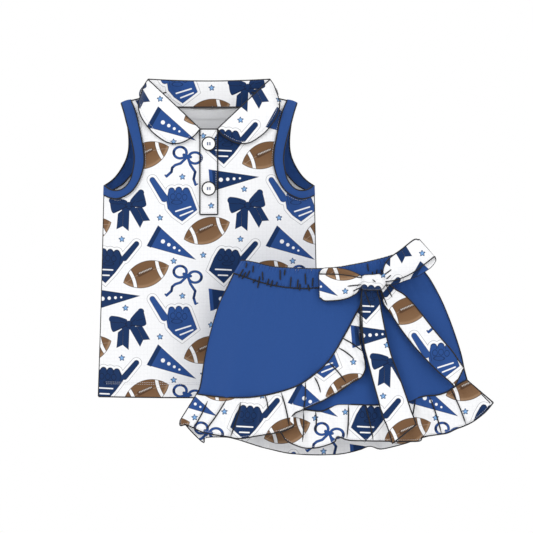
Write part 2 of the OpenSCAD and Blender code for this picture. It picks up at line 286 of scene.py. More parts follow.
        # leather: lighter below, darker towards the rim and the top
        lit = circ(q, (0, R - b + 1.6), R - 2.4)
        tone = n.mix(mask(lit, 2.2), (0.330, 0.205, 0.118), BROWN)
        tone = n.mix(n.m("MULTIPLY_ADD", y, -0.03, 0.05, clamp=True), tone, (0.27, 0.155, 0.080))
        xa = n.m("ABSOLUTE", x)
        bend = n.m("MULTIPLY_ADD", n.m("MULTIPLY", y, y), -0.010, xa)
        stripe = n.m("SUBTRACT", n.m("ABSOLUTE", n.m("SUBTRACT", bend, 19.0)), 2.3)
        seam = n.m("SUBTRACT", n.m("ABSOLUTE", n.m("SUBTRACT", bend, 19.0)), 3.0)
        tone = n.mix(mask(seam, 0.5), tone, (0.045, 0.022, 0.012))
        tone = n.mix(mask(stripe, 0.4), tone, WHITE)
        patch = caps(q, (-9.2, 3.0), (10.0, 4.6), 3.3, 2.4)
        tone = n.mix(n.m("MULTIPLY", mask(patch, 0.8), 0.8), tone, (0.075, 0.036, 0.018))
        lace = caps(q, (-8.8, 4.6), (9.6, 5.4), 0.30)
        tick = n.m("MAXIMUM", n.m("SUBTRACT", n.m("ABSOLUTE", n.m("SUBTRACT", n.m("FRACT", n.m("MULTIPLY", x, 0.44)), 0.5)), 0.13), caps(q, (-8.6, 4.4), (9.4, 5.2), 1.3))
        run = n.m("SUBTRACT", n.m("ABSOLUTE", n.m("SUBTRACT", n.m("MULTIPLY_ADD", n.m("MULTIPLY", x, x), 0.0055, y), 3.6)), 0.22)
        tone = n.mix(n.m("MULTIPLY", mask(n.m("MAXIMUM", run, n.m("SUBTRACT", 11.5, xa)), 0.5), 0.75), tone, (0.46, 0.37, 0.30))
        tone = n.mix(mask(un(lace, tick), 0.3), tone, (0.66, 0.63, 0.59))
        rim = ring(body, -0.3, 0.45, 0.5)
        tone = n.mix(rim, tone, (0.06, 0.03, 0.018))
        col = n.mix(mask(body), col, tone)

    # pennants: a triangle with a band of the other blue
    for pts, band, main, side in (
        ([(-70.3, -177.9), (-85.0, -206.2), (-18.2, -224.8)], [(-71.5, -176.6), (-66.6, -180.6), (-81.6, -208.0), (-87.6, -205.5)], ROYAL, NAVY),
        ([(0.5, -98.2), (3.2, -129.2), (70.5, -108.4)], [(-0.4, -97.9), (4.6, -98.7), (7.2, -128.6), (2.2, -129.6)], NAVY, ROYAL),
    ):
        c = np.mean(np.array(pts), 0)
        q = cell((float(c[0]), float(c[1])))
        d = poly(q, np.array(pts) - c)
        col = n.mix(mask(d), col, main)
        col = n.mix(ring(d, -0.25, 0.3), col, tuple(0.35 * k for k in main))
        col = n.mix(mask(poly(q, np.array(band) - c)), col, side)
        # a plain row of dots along the middle of the flag
        tip = np.array(pts[2] if main == ROYAL else pts[2], float)
        root = (np.array(pts[0], float) + np.array(pts[1], float)) / 2
        for f, r in ((0.22, 2.9), (0.36, 2.4), (0.49, 2.0), (0.61, 1.5)):
            k = root + (tip - root) * f - c
            col = n.mix(mask(circ(q, (float(k[0]), float(k[1])), r), 0.5), col, WHITE)

    # foam hands with a cut border
    def hand(c, fin, base, ra, rb, palm, knuckles, curls, bands, main):
        nonlocal col
        q = cell(c)
        o = lambda p: (p[0] - c[0], p[1] - c[1])
        finger = caps(q, o(fin), o(base), ra, rb)
        kn = [circ(q, o(k), 4.7) for k in knuckles]
        d = un(finger, poly(q, [o(k) for k in palm]), *kn)
        border = n.m("SUBTRACT", d, 3.6)
        col = n.mix(mask(n.m("SUBTRACT", n.m("ABSOLUTE", border), 0.28), 0.5), col, (0.30, 0.30, 0.31))
        col = n.mix(mask(n.m("SUBTRACT", d, 3.2)), col, WHITE)
        ink = tuple(0.30 * k for k in main)
        deep = tuple(0.62 * k for k in main)
        # curled fingers, the side of the pointing finger and a fold of the thumb
        marks = None
        for k, (ex, ey) in curls:
            e = n.v("LENGTH", n.v("MULTIPLY_ADD", n.v("MULTIPLY", q, (1, 1, 0)), (1 / ex, 1 / ey, 0), (-(k[0] - c[0]) / ex, -(k[1] - c[1]) / ey, 0)))
            e = n.m("MULTIPLY", n.m("SUBTRACT", n.m("ABSOLUTE", n.m("SUBTRACT", e, 1.0)), 0.10), 3.4)
            marks = e if marks is None else n.m("MINIMUM", marks, e)
        for k in knuckles:
            r = n.m("MAXIMUM", n.m("SUBTRACT", n.m("ABSOLUTE", circ(q, o((k[0], k[1] - 0.8)), 4.3)), 0.30), n.m("SUBTRACT", k[1] - 3.4 - c[1], n.v("DOT_PRODUCT", q, (0, 1, 0))))
            marks = n.m("MINIMUM", marks, r)
        s_ = 1.0 if fin[0] > base[0] else -1.0
        edge = caps(q, o((base[0] - s_ * 5.0, base[1] + 4.0)), o((base[0] - s_ * 7.5, base[1] - 9.5)), 0.34)
        marks = n.m("MINIMUM", marks, edge)
        body = n.mix(n.m("MULTIPLY", mask(circ(q, (0, -7.0), 9.0), 9.0), 0.35), main, deep)
        body = n.mix(mask(marks, 0.5), body, ink)
        body = n.mix(ring(d, -0.25, 0.32), body, ink)
        # two plain stripes round the cuff
        for a0, a1 in bands:
            body = n.mix(mask(caps(q, o(a0), o(a1), 0.95), 0.5), body, WHITE)
        col = n.mix(mask(d), col, body)

    hand((-48.5, -141.0), (-79.5, -112.7), (-62.6, -138.5), 4.0, 5.4,
         [(-56.8, -127.1), (-26.6, -127.1), (-21.8, -140), (-16.0, -154.8), (-37.5, -171.2), (-49.9, -162.5), (-58.0, -153.0), (-59.8, -141.8)],
         [(-52.3, -128.0), (-42.2, -127.0), (-31.9, -128.0)],
         [((-50.6, -136.6), (3.4, 4.3)), ((-42.2, -135.6), (3.4, 4.3)), ((-34.0, -137.2), (3.3, 4.2)), ((-45.0, -144.2), (7.4, 2.8))],
         [((-46.5, -157.0), (-25.5, -150.4)), ((-40.2, -163.2), (-22.6, -156.2))], ROYAL)
    hand((26.0, -230.0), (65.4, -202.6), (48.4, -222.6), 3.8, 4.4,
         [(13.3, -212), (41.6, -213.3), (47.4, -226.0), (45.4, -229.7), (35.2, -243.2), (21, -258.2), (0.0, -239.8), (7.2, -222.3)],
         [(18.4, -213.4), (27.9, -214.2), (37.3, -215.4)],
         [((15.9, -222.0), (3.3, 4.2)), ((24.4, -222.6), (3.4, 4.2)), ((33.0, -223.4), (3.4, 4.2)), ((26.0, -230.6), (7.0, 2.4))],
         [((9.5, -238.4), (31.4, -239.4)), ((13.5, -246.6), (26.4, -247.0))], NAVY)

    # tied bow with two notched tails
    q = cell((54.4, -148.6))
    k = 0.1286
    f = lambda pts: [(a * k, -b * k) for a, b in pts]
    ll = un(poly(q, f([(-213, -62), (-196, -94), (-110, -88), (-14, -52), (-14, 26), (-110, 66), (-168, 96), (-196, 60)]), 3.4), circ(q, (-23.5, 7.2), 4.8))
    rl = un(poly(q, f([(10, -52), (90, -150), (128, -176), (158, -160), (188, -70), (198, 0), (160, 25), (20, 14)]), 3.4), circ(q, (17.2, 18.0), 4.6))
    t1 = un(poly(q, f([(-120, 88), (-136, 260), (-66, 226), (-60, 40)])), poly(q, f([(-62, 40), (-67, 226), (-1, 280), (8, 40)])))
    t2 = un(poly(q, f([(8, 44), (125, 246), (161, 170), (90, 20)])), poly(q, f([(88, 20), (160, 171), (236, 165), (150, 20)])))
    d = un(ll, rl, t1, t2, circ(q, (0.2, 0.2), 5.0), caps(q, (-7.0, -4.5), (6.0, -3.6), 3.4))
    body = n.mix(mask(un(caps(q, (-2, -1), (-20, -10), 0.55), caps(q, (2, -1), (22, -2.6), 0.55), caps(q, (-3, 1), (-12, 3), 0.4), caps(q, (3, 1.4), (9, 7), 0.4), ), 0.7), NAVY, (0.003, 0.010, 0.04))
    body = n.mix(ring(circ(q, (0.2, 0.2), 4.6), 0, 0.4, 0.5), body, (0.003, 0.010, 0.04))
    body = n.mix(mask(un(caps(q, (-15.5, -12.2), (-9.5, -6.6), 0.5), caps(q, (-25, 3), (-13, 2.0), 0.35), caps(q, (11, 5.0), (21, 8.2), 0.35), caps(q, (-6, 4.6), (-14, 9.2), 0.35)), 0.6), body, (0.003, 0.010, 0.04))
    body = n.mix(ring(d, -0.25, 0.3), body, (0.004, 0.014, 0.05))
    col = n.mix(mask(d), col, body)

    # stars
    sd = None
    for c in ((-68.7, -165.9), (-7.8, -218.4), (-49.4, -226.8), (-37.2, -108.5), (-122.9, -196.0), (49.8, -125.6), (3.4, -149.1)):
        q = cell(c, 4.0)
        xyz = n.new("ShaderNodeSeparateXYZ")
        n.put(xyz.inputs[0], q)
        ang = n.m("ARCTAN2", xyz.outputs[0], xyz.outputs[1])
        rad = n.m("MULTIPLY_ADD", n.m("COSINE", n.m("MULTIPLY", ang, 5.0)), 1.0, 2.7)
        s = n.m("SUBTRACT", n.v("LENGTH", q), rad)
        sd = s if sd is None else n.m("MINIMUM", sd, s)
    col = n.mix(mask(n.m("SUBTRACT", sd, 0.9), 0.4), col, (0.035, 0.075, 0.16))
    col = n.mix(mask(n.m("ADD", sd, 0.75), 0.4), col, SKY)

    out = n.new("NodeGroupOutput")
    n.put(out.inputs[0], col)
    return g


PRINT = print_group()


def uv_mm(n, shift=(0, 0)):
    u = n.new("ShaderNodeUVMap")
    u.uv_map = "UVMap"
    return n.v("MULTIPLY_ADD", u.outputs[0], (1000, 1000, 0), (shift[0], shift[1], 0))


def knit(n, p, fine=1.15, depth=0.35):
    """Height of a knitted face: rows of small stitches with a soft irregularity."""
    xyz = n.new("ShaderNodeSeparateXYZ")
    n.put(xyz.inputs[0], p)
    w = 2 * math.pi / fine
    a = n.m("SINE", n.m("MULTIPLY", xyz.outputs[0], w))
    b = n.m("SINE", n.m("MULTIPLY_ADD", n.m("ABSOLUTE", a), 1.5, n.m("MULTIPLY", xyz.outputs[1], w * 1.15)))
    h = n.m("MULTIPLY", n.m("ABSOLUTE", a), n.m("MULTIPLY_ADD", b, 0.35, 0.65))
    ns = n.new("ShaderNodeTexNoise")
    ns.inputs["Scale"].default_value = 0.35
    ns.inputs["Detail"].default_value = 4.0
    n.put(ns.inputs["Vector"], p)
    return h, ns.outputs["Fac"]


def fabric(name, kind, base=WHITE, shift=(0, 0), rough=0.86, sheen=0.25, rib=False):
    m = bpy.data.materials.new(name)
    m.use_nodes = True
    t = m.node_tree
    t.nodes.clear()
    n = Net(t)
    p = uv_mm(n, shift)
    h, noise = knit(n, p)
    if kind == "print":
        gr = n.new("ShaderNodeGroup")
        gr.node_tree = PRINT
        n.put(gr.inputs[0], p)
        col = gr.outputs[0]
    else:
        col = base
    # painted shade: darker in the low parts of each stitch, where shade falls, times a random tone of the dyeing
    stitch_shade_and_dye_tone = n.m("MULTIPLY_ADD", h, 0.10, 0.93)
    stitch_shade_and_dye_tone = n.m("MULTIPLY", stitch_shade_and_dye_tone, n.m("MULTIPLY_ADD", noise, 0.10, 0.95))
    height = h
    if rib:
        xyz = n.new("ShaderNodeSeparateXYZ")
        n.put(xyz.inputs[0], p)
        r = n.m("ABSOLUTE", n.m("SINE", n.m("MULTIPLY", xyz.outputs[0], math.pi / 1.7)))
        height = n.m("ADD", n.m("MULTIPLY", h, 0.3), n.m("MULTIPLY", n.m("POWER", r, 0.5), 1.6))
        # painted shade: darker in the grooves between the ribs
        stitch_shade_and_dye_tone = n.m("MULTIPLY", stitch_shade_and_dye_tone, n.m("MULTIPLY_ADD", n.m("POWER", r, 0.6), 0.22, 0.80))
    vs = n.new("ShaderNodeVectorMath", operation="SCALE")
    n.put(vs.inputs[0], col if isinstance(col, bpy.types.NodeSocket) else tuple(col))
    n.put(vs.inputs["Scale"], stitch_shade_and_dye_tone)
    bump = n.new("ShaderNodeBump")
    bump.inputs["Strength"].default_value = 0.55
    bump.inputs["Distance"].default_value = 0.00022
    n.put(bump.inputs["Height"], n.m("MULTIPLY_ADD", noise, 0.8, height))
    b = n.new("ShaderNodeBsdfPrincipled")
    b.inputs["Roughness"].default_value = rough
    b.inputs["Specular IOR Level"].default_value = 0.18
    b.inputs["Sheen Weight"].default_value = sheen
    b.inputs["Sheen Roughness"].default_value = 0.45
    n.put(b.inputs["Base Color"], vs.outputs[0])
    n.put(b.inputs["Normal"], bump.outputs[0])
    o = n.new("ShaderNodeOutputMaterial")
    n.put(o.inputs[0], b.outputs[0])
    return m


SK_SHIFT = (-30.5, 50.3)
M_PRINT = fabric("printed_jersey", "print")
M_PRINT_SK = fabric("printed_jersey_skirt", "print", shift=SK_SHIFT)
M_WHITE = fabric("white_jersey", "plain", base=WHITE)
M_ROYAL = fabric("blue_jersey", "plain", base=ROYAL, sheen=0.18)
M_RIB = fabric("blue_rib", "plain", base=ROYAL, rib=True, sheen=0.18)
M_ELASTIC = fabric("elastic", "plain", base=(0.75, 0.73, 0.68), rib=True)


def plain(name, col, rough=0.7, kind="thread", coat=0.0):
    m = bpy.data.materials.new(name)
    m.use_nodes = True
    t = m.node_tree
    t.nodes.clear()
    n = Net(t)
    tc = n.new("ShaderNodeTexCoord")
    w = n.new("ShaderNodeTexNoise")
    w.inputs["Scale"].default_value = 900.0 if kind == "thread" else 60.0
    w.inputs["Detail"].default_value = 3.0
    n.put(w.inputs["Vector"], tc.outputs["Object"])
    f = n.m("MULTIPLY_ADD", w.outputs["Fac"], 0.5 if kind == "thread" else 0.06, 0.75 if kind == "thread" else 0.97)
    vs = n.new("ShaderNodeVectorMath", operation="SCALE")
    vs.inputs[0].default_value = col
    n.put(vs.inputs["Scale"], f)
    b = n.new("ShaderNodeBsdfPrincipled")
    b.inputs["Roughness"].default_value = rough
    if coat:
        b.inputs["Coat Weight"].default_value = coat
        b.inputs["Coat Roughness"].default_value = 0.12
    n.put(b.inputs["Base Color"], vs.outputs[0])
    bump = n.new("ShaderNodeBump")
    bump.inputs["Strength"].default_value = 0.4 if kind == "thread" else 0.05
    bump.inputs["Distance"].default_value = 0.0002
    n.put(bump.inputs["Height"], w.outputs["Fac"])
    n.put(b.inputs["Normal"], bump.outputs[0])
    o = n.new("ShaderNodeOutputMaterial")
    n.put(o.inputs[0], b.outputs[0])
    return m


# near-black cord: the edge piping, and the dark crease cords that are painted crease shade
M_INK = plain("edge_and_crease_shade_thread", INK, 0.75)
M_STITCH = plain("white_thread", (0.60, 0.61, 0.64), 0.6)
M_BLUE_THREAD = plain("blue_thread", ROYAL, 0.6)
M_BUTTON = plain("button_plastic", (0.86, 0.86, 0.85), 0.28, "plastic", 0.35)

# ------------------------------------------------------------------ mesh makers


def normals(v, f):
    nn = np.zeros_like(v)
    for tri in f:
        a, b, c = v[tri[0]], v[tri[1]], v[tri[2]]
        k = np.cross(b - a, c - a)
        if len(tri) == 4:
            k = k + np.cross(c - a, v[tri[3]] - a)
        for i in tri:
            nn[i] += k
    return nn / np.maximum(np.linalg.norm(nn, axis=1, keepdims=True), 1e-12)


def build(name, v, f, uv, mats, th=0.0, inner=None, sharp=48):
    """Closed sheet of thickness th (mm), its drawn side outwards; v in mm."""
    v = np.asarray(v, float)
    uv = np.asarray(uv, float)
    f = [tuple(k) for k in f]
    idx = [0] * len(f)
    if th > 0:
        nn = normals(v, f)
        m = len(v)
        count = {}
        for k in f:
            for a, b in zip(k, k[1:] + k[:1]):
                count[(a, b)] = count.get((a, b), 0) + 1
        rim = [(a, b) for (a, b) in count if (b, a) not in count]
        v2 = v - nn * th
        inner_i = 1 if inner else 0
        f2 = [tuple(i + m for i in reversed(k)) for k in f]
        f3 = [(b, a, a + m, b + m) for a, b in rim]
        v = np.vstack([v, v2])
        uv = np.vstack([uv, uv])
        f = f + f2 + f3
        idx = idx + [inner_i] * len(f2) + [0] * len(f3)
    me = bpy.data.meshes.new(name)
    me.from_pydata([tuple(p * S) for p in v], [], f)
    layer = me.uv_layers.new(name="UVMap")
    loops = np.zeros(len(me.loops), int)
    me.loops.foreach_get("vertex_index", loops)
    layer.data.foreach_set("uv", (uv[loops] * S).astype(np.float32).ravel())
    me.polygons.foreach_set("material_index", idx)
    me.polygons.foreach_set("use_smooth", [True] * len(f))
    me.set_sharp_from_angle(angle=math.radians(sharp))
    ob = bpy.data.objects.new(name, me)
    bpy.context.scene.collection.objects.link(ob)
    me.materials.append(mats)
    if inner:
        me.materials.append(inner)
    me.update()
    return ob


def sheet_xz(name, outline, yfun, mats, th=1.2, inner=None, front=True, h=5.0, extra=None):
    """A sheet over the outline in the X-Z plane, lifted to y = yfun(x, z)."""
    o = resample(np.vstack([outline, outline[:1]]), step=min(h * 0.75, 3.2))[:-1]
    lo, hi = o.min(0), o.max(0)
    rows = []
    k = 0
    z = lo[1]
    while z < hi[1]:
        x = np.arange(lo[0] + (k % 2) * h / 2, hi[0], h)
        rows.append(np.stack([x, np.full_like(x, z)], 1))
        z += h * 0.866
        k += 1
    g = np.vstack(rows)
    if extra is not None:
        g = np.vstack([g, extra])
    g = g[inside(g, o)]
    g = g[to_line(g, np.vstack([o, o[:1]])) > h * 0.42]
    pts = [Vector(p) for p in np.vstack([o, g])]
    n = len(o)
    edges = [(i, (i + 1) % n) for i in range(n)]
    vv, _, ff, *_ = geometry.delaunay_2d_cdt(pts, edges, [], 1, 1e-5)
    p = np.array([(q.x, q.y) for q in vv])
    faces = []
    for t in ff:
        a = p[list(t)]
        ar = np.sum(a[:, 0] * np.roll(a[:, 1], -1) - a[:, 1] * np.roll(a[:, 0], -1))
        if abs(ar) < 1e-6:
            continue
        t = tuple(t) if ar > 0 else tuple(reversed(t))
        faces.append(t if front else tuple(reversed(t)))
    y = yfun(p[:, 0], p[:, 1])
    v = np.stack([p[:, 0], y, p[:, 1]], 1)
    return build(name, v, faces, p, mats, th, inner)


def grid(name, P, UV, mats, th=0.0, inner=None, wrap=False, flip=False, sharp=48):
    nu, nv = P.shape[:2]
    f = []
    for i in range(nu if wrap else nu - 1):
        j = (i + 1) % nu
        for k in range(nv - 1):
            q = (i * nv + k, j * nv + k, j * nv + k + 1, i * nv + k + 1)
            f.append(tuple(reversed(q)) if flip else q)
    return build(name, P.reshape(-1, 3), f, UV.reshape(-1, 2), mats, th, inner, sharp)


def tube_mesh(path, r, sides=6, closed=False, taper=False):
    p = np.asarray(path, float)
    n = len(p)
    if closed:
        t = np.roll(p, -1, 0) - np.roll(p, 1, 0)
    else:
        t = np.gradient(p, axis=0)
    t /= np.maximum(np.linalg.norm(t, axis=1, keepdims=True), 1e-9)
    ref = np.array([0.3, -1.0, 0.2])
    a = np.cross(t, ref)
    a /= np.maximum(np.linalg.norm(a, axis=1, keepdims=True), 1e-9)
    b = np.cross(t, a)
    rr = np.full(n, float(r))
    if taper:
        rr = r * np.clip((0.6 + np.minimum(np.arange(n), np.arange(n)[::-1])) / max(1.6, n * 0.16), 0.3, 1.0)
    ang = np.linspace(0, 2 * np.pi, sides, endpoint=False)
    v = (p[:, None, :] + rr[:, None, None] * (np.cos(ang)[None, :, None] * a[:, None, :] + np.sin(ang)[None, :, None] * b[:, None, :])).reshape(-1, 3)
    f = []
    for i in range(n if closed else n - 1):
        j = (i + 1) % n
        for k in range(sides):
            l = (k + 1) % sides
            f.append((i * sides + k, i * sides + l, j * sides + l, j * sides + k))
    if not closed:
        f.append(tuple(reversed(range(sides))))
        f.append(tuple(range((n - 1) * sides, n * sides)))
    return v, f


def tubes(name, paths, mat, r=0.75, sides=6, taper=False):
    """Several thin cords in one object. Each path is (points, closed) or points."""
    V, F, U = [], [], []
    k = 0
    for q in paths:
        pts, closed = q if isinstance(q, tuple) else (q, False)
        v, f = tube_mesh(pts, r, sides, closed, taper)
        V.append(v)
        U.append(v[:, [0, 2]])
        F += [tuple(i + k for i in t) for t in f]
        k += len(v)
    return build(name, np.vstack(V), F, np.vstack(U), mat, sharp=80)


def stitch_mesh(path, mat, name, length=2.3, gap=0.9, r=0.24, off=None):
    """Separate stitches along a path of 3-D points."""
    s = arc(path)
    V, F, U = [], [], []
    k = 0
    x = 0.6
    while x + length < s[-1]:
        u = np.linspace(x, x + length, 4)
        p = np.stack([np.interp(u, s, path[:, i]) for i in range(3)], 1)
        p[1:3, 1] += 0.0
        rr = [0.35, 1.0, 1.0, 0.35]
        v, f = tube_mesh(p, r, 5)
        c = np.repeat(p, 5, 0)
        v = c + (v - c) * np.repeat(rr, 5)[:, None]
        V.append(v)
        U.append(v[:, [0, 2]])
        F += [tuple(i + k for i in t) for t in f]
        k += len(v)
        x += length + gap
    return V, F, U


def stitches(name, paths, mat, **kw):
    V, F, U = [], [], []
    k = 0
    for p in paths:
        v, f, u = stitch_mesh(np.asarray(p, float), mat, name, **kw)
        for a, b in zip(v, u):
            V.append(a)
            U.append(b)
        F += [tuple(i + k for i in t) for t in f]
        k += sum(len(a) for a in v)
    return build(name, np.vstack(V), F, np.vstack(U), mat, sharp=80)


# ------------------------------------------------------------------ the top: form

SL = math.tan(math.radians(13.6))
CO = math.cos(math.radians(13.6))


def smin(a, b, k=4.0):
    h = np.clip(0.5 + 0.5 * (b - a) / k, 0, 1)
    return b * (1 - h) + a * h - k * h * (1 - h)


def side_x(z):
    return np.interp(-np.asarray(z, float), [-60, 0, 120, 418], [170, 170, 148.2, 157.2])


def depth_top(x, z, off=0.0, z0=25.0):
    x = np.asarray(x, float)
    z = np.asarray(z, float)
    q = 384.0 + off
    lens = np.sqrt(np.maximum(q * q - x * x, 350.0 ** 2)) - 350.0
    ridge = z0 - SL * np.sqrt(x * x + 60.0)
    below = (ridge - z) * CO
    qr = 195.0 + off
    roof = np.where(below < 110, np.sqrt(np.maximum(qr * qr - (110 - below) ** 2, 161.0 ** 2)) - 161.0, 34.0 + off)
    roof = np.where(below < 0, roof * np.clip(1 + below / 6.0, 0, 1), roof)
    d = np.where(roof < lens - 4, roof, np.where(lens < roof - 4, lens, smin(lens, roof)))
    d = np.maximum(d, 0.0)
    e = np.clip((side_x(z) - np.abs(x)) / 15.0, 0, 1)
    return d * np.where(z < -60, np.sqrt(np.clip(1 - (1 - e) ** 2, 0, 1)), 1.0)


def folds_top(x, z):
    lo = ss(-z, 150, 400)
    return lo * (1.3 * np.sin(x / 17.0 + 0.9 * np.sin(z / 70.0) + 0.4) + 0.8 * np.sin(x / 9.3 + 1.7)) + 0.5 * np.sin(x / 29.0 + z / 41.0)


def edge_calm(x, z):
    return ss(side_x(z) - np.abs(x), 2, 26)


def y_front(x, z, off=0.0):
    return -(depth_top(x, z, off) + folds_top(x, z) * edge_calm(x, z) * ss(-np.asarray(z, float), 60, 160) - 0.0) - 0.25


def y_back(x, z, off=0.0):
    return depth_top(x, z, off) + folds_top(-x + 30, z) * edge_calm(x, z) * ss(-np.asarray(z, float), 60, 160) + 0.25


ARM_OPEN_F = [(124, -5), (120, -17), (116, -32), (110, -53), (106, -71), (105, -85), (107, -99), (111, -113), (120, -124), (131, -127.5), (141, -125), (147.5, -120)]
ARM_SEAM_F = [(110, -1.2), (104, -15), (99, -34), (95, -53), (92, -71), (91.2, -88), (94, -102), (99, -115), (107, -127), (117, -134.5), (130, -139), (141, -137), (148, -134)]
ARM_OPEN_B = [(124, -5), (118, -18), (116, -32), (114, -50), (114, -67), (117, -81), (123, -94), (131, -106), (139, -114), (147.5, -120)]
ARM_SEAM_B = [(110, -1.2), (104, -18), (102, -32), (100, -50), (100, -68), (103, -86), (107, -99), (116, -111), (124, -119), (134, -125), (148, -134)]
HEM = -418.0
V_TOP, V_BOT = (86.0, 29.4), (12.4, -41.0)

pieces = {}


def front_outline():
    half = join(
        cr([(0, -41), (12.4, -41)]), cr([(12.4, -41), (58, 2.5)]), cr([(58, 2.5), (61, 10.0)]), cr([(61, 10.0), (110, -1.2)]),
        cr(ARM_SEAM_F), cr([(148, -134), (151.6, -280), (156, HEM)]), cr([(156, HEM), (80, HEM - 0.4), (0, HEM - 0.6)]))
    return join(half, mir(half))


def back_outline():
    half = join(
        cr([(0, -12), (46, -10)]), cr([(46, -10), (61, 10.0)]), cr([(61, 10.0), (110, -1.2)]),
        cr(ARM_SEAM_B), cr([(148, -134), (151.6, -280), (156, HEM)]), cr([(156, HEM), (80, HEM - 0.4), (0, HEM - 0.6)]))
    return join(half, mir(half))


def P3(p, yf):
    p = np.asarray(p, float)
    return np.stack([p[:, 0], yf(p[:, 0], p[:, 1]), p[:, 1]], 1)


FO, BO = front_outline(), back_outline()
front = sheet_xz("top_front", FO, y_front, M_PRINT, 1.0, M_WHITE, True, 4.5)
back = sheet_xz("top_back", BO, y_back, M_PRINT, 1.0, M_WHITE, False, 4.5)
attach(front, "top"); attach(back, "top")
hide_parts("front_panel", "side_seam_left", "side_seam_right", "shoulder_seam_left", "shoulder_seam_right")
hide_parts("back_panel")
area2(FO) * 1e-6 * 1.03
area2(BO) * 1e-6 * 1.03


def hem_sheet(name, yf, sgn, node):
    o = join(cr([(-149, HEM + 0.6), (0, HEM + 0.2), (149, HEM + 0.6)]), cr([(149, HEM + 0.6), (148, HEM + 20)]), cr([(148, HEM + 20), (0, HEM + 19.6), (-148, HEM + 20)]), cr([(-148, HEM + 20), (-149, HEM + 0.6)]))
    ob = sheet_xz(name, o, lambda x, z: yf(x, z) + sgn * (-1.15), M_WHITE, 0.9, None, sgn < 0, 4.5)
    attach(ob, "top"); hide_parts(node)
    return ob


# sgn -1 is the front: the turned hem lies on the inside
hem_sheet("hem_front_fold", lambda x, z: y_front(x, z), -1, "hem_front")
hem_sheet("hem_back_fold", lambda x, z: y_back(x, z), 1, "hem_back")

# neck tape on the inside of the back
tape_o = join(cr([(-52, -2), (-45, -11.5), (0, -13), (45, -11.5), (52, -2)]), cr([(52, -2), (56, -12)]), cr([(56, -12), (44, -23), (0, -25), (-44, -23), (-56, -12)]), cr([(-56, -12), (-52, -2)]))
tape = sheet_xz("neck_tape_twill", tape_o, lambda x, z: y_back(x, z) - 1.2, M_WHITE, 0.9, None, False, 4)
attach(tape, "top"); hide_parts("neck_tape")
area2(tape_o) * 1e-6


# armhole bindings: one ring round each armhole
def binding(sx, name, node):
    n1 = 92
    of = resample(cr(ARM_OPEN_F), n=n1)
    sf = resample(cr(ARM_SEAM_F), n=n1)
    ob_ = resample(cr(ARM_OPEN_B), n=n1)
    sb = resample(cr(ARM_SEAM_B), n=n1)
    O = np.vstack([of, ob_[::-1][1:-1]])
    Q = np.vstack([sf, sb[::-1][1:-1]])
    side = np.concatenate([-np.ones(n1), np.ones(n1 - 2)])
    nt = 11
    T = np.linspace(0, 1, nt)
    P = np.zeros((len(O), nt, 3))
    UV = np.zeros((len(O), nt, 2))
    L = arc(np.vstack([Q, Q[:1]]))[:-1]
    for k, t in enumerate(T):
        xz = Q * (1 - t) + O * t
        # the band is rounded: proud in the middle, rolled in at the opening
        off = 0.5 + 1.3 * math.sin(math.pi * min(1.0, 0.12 + 0.88 * t)) ** 0.8
        d = depth_top(xz[:, 0], xz[:, 1], off)
        # it closes over the shoulder and under the arm
        i = np.arange(len(O))
        lo = np.minimum(i, len(O) - i)
        d = np.where(lo < 4, d * (lo / 4.0) * 0.0 + d * np.sqrt(lo / 4.0), d)
        mid = np.abs(i - (n1 - 1))
        d = np.where(mid < 6, d * np.sqrt(mid / 6.0) + off * (1 - mid / 6.0) * 0, d)
        P[:, k, 0] = sx * xz[:, 0]
        P[:, k, 1] = side * (d + 0.25)
        P[:, k, 2] = xz[:, 1] + np.where(lo < 4, off * (1 - lo / 4.0), 0) - np.where(mid < 6, 0.0, 0)
        UV[:, k, 0] = L
        UV[:, k, 1] = t * 14
    ob = grid(name, P, UV, M_RIB, 1.7, M_RIB, wrap=True, flip=sx > 0)
    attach(ob, "top"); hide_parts(node)
    e1 = [P[:, 0] + np.array([0, 0, 0]), True]
    return ob, P


BL, PL_ = binding(-1, "armhole_band_left", "armhole_binding_left")
BR, PR_ = binding(1, "armhole_band_right", "armhole_binding_right")


def lift(P, y=0.0, back=None):
    q = P.copy()
    q[:, 1] += np.where(q[:, 1] < 0, -y, y if back is None else back)
    return q


NB = 96
edge_arm = tubes("armhole_edges", [(lift(PL_[:, 0], 1.9), True), (lift(PL_[:, -1], 1.9, 0.1), True), (lift(PR_[:, 0], 1.9), True), (lift(PR_[:, -1], 1.9, 0.1), True),
                                   lift(PL_[NB:-4, 0], -2.6), lift(PR_[NB:-4, 0], -2.6), lift(PL_[NB:-4, -1], 1.9), lift(PR_[NB:-4, -1], 1.9)], M_INK, 1.0)
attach(edge_arm, "top")

# outlines of the body: side seams, hem, shoulders
side_r = cr([(148, -134), (151.6, -280), (156, HEM)])
seams = []
for s in (-1, 1):
    p = side_r.copy(); p[:, 0] = s * (p[:, 0] + 0.35)
    seams.append(np.stack([p[:, 0], np.zeros(len(p)), p[:, 1]], 1))
    sh = cr([(60, 10.6), (110, -0.9)])
    seams.append(np.stack([s * sh[:, 0], np.zeros(len(sh)), sh[:, 1] + 0.9], 1))
hemline = cr([(-156, HEM), (-80, HEM - 0.4), (0, HEM - 0.6), (80, HEM - 0.4), (156, HEM)])
seams.append(P3(hemline, lambda x, z: y_front(x, z) + 0.4) + np.array([0, 0, -0.3]))
seams.append(P3(hemline, lambda x, z: y_back(x, z) - 0.4) + np.array([0, 0, -0.3]))
edge_body = tubes("body_edges", seams, M_INK, 1.0)
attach(edge_body, "top")

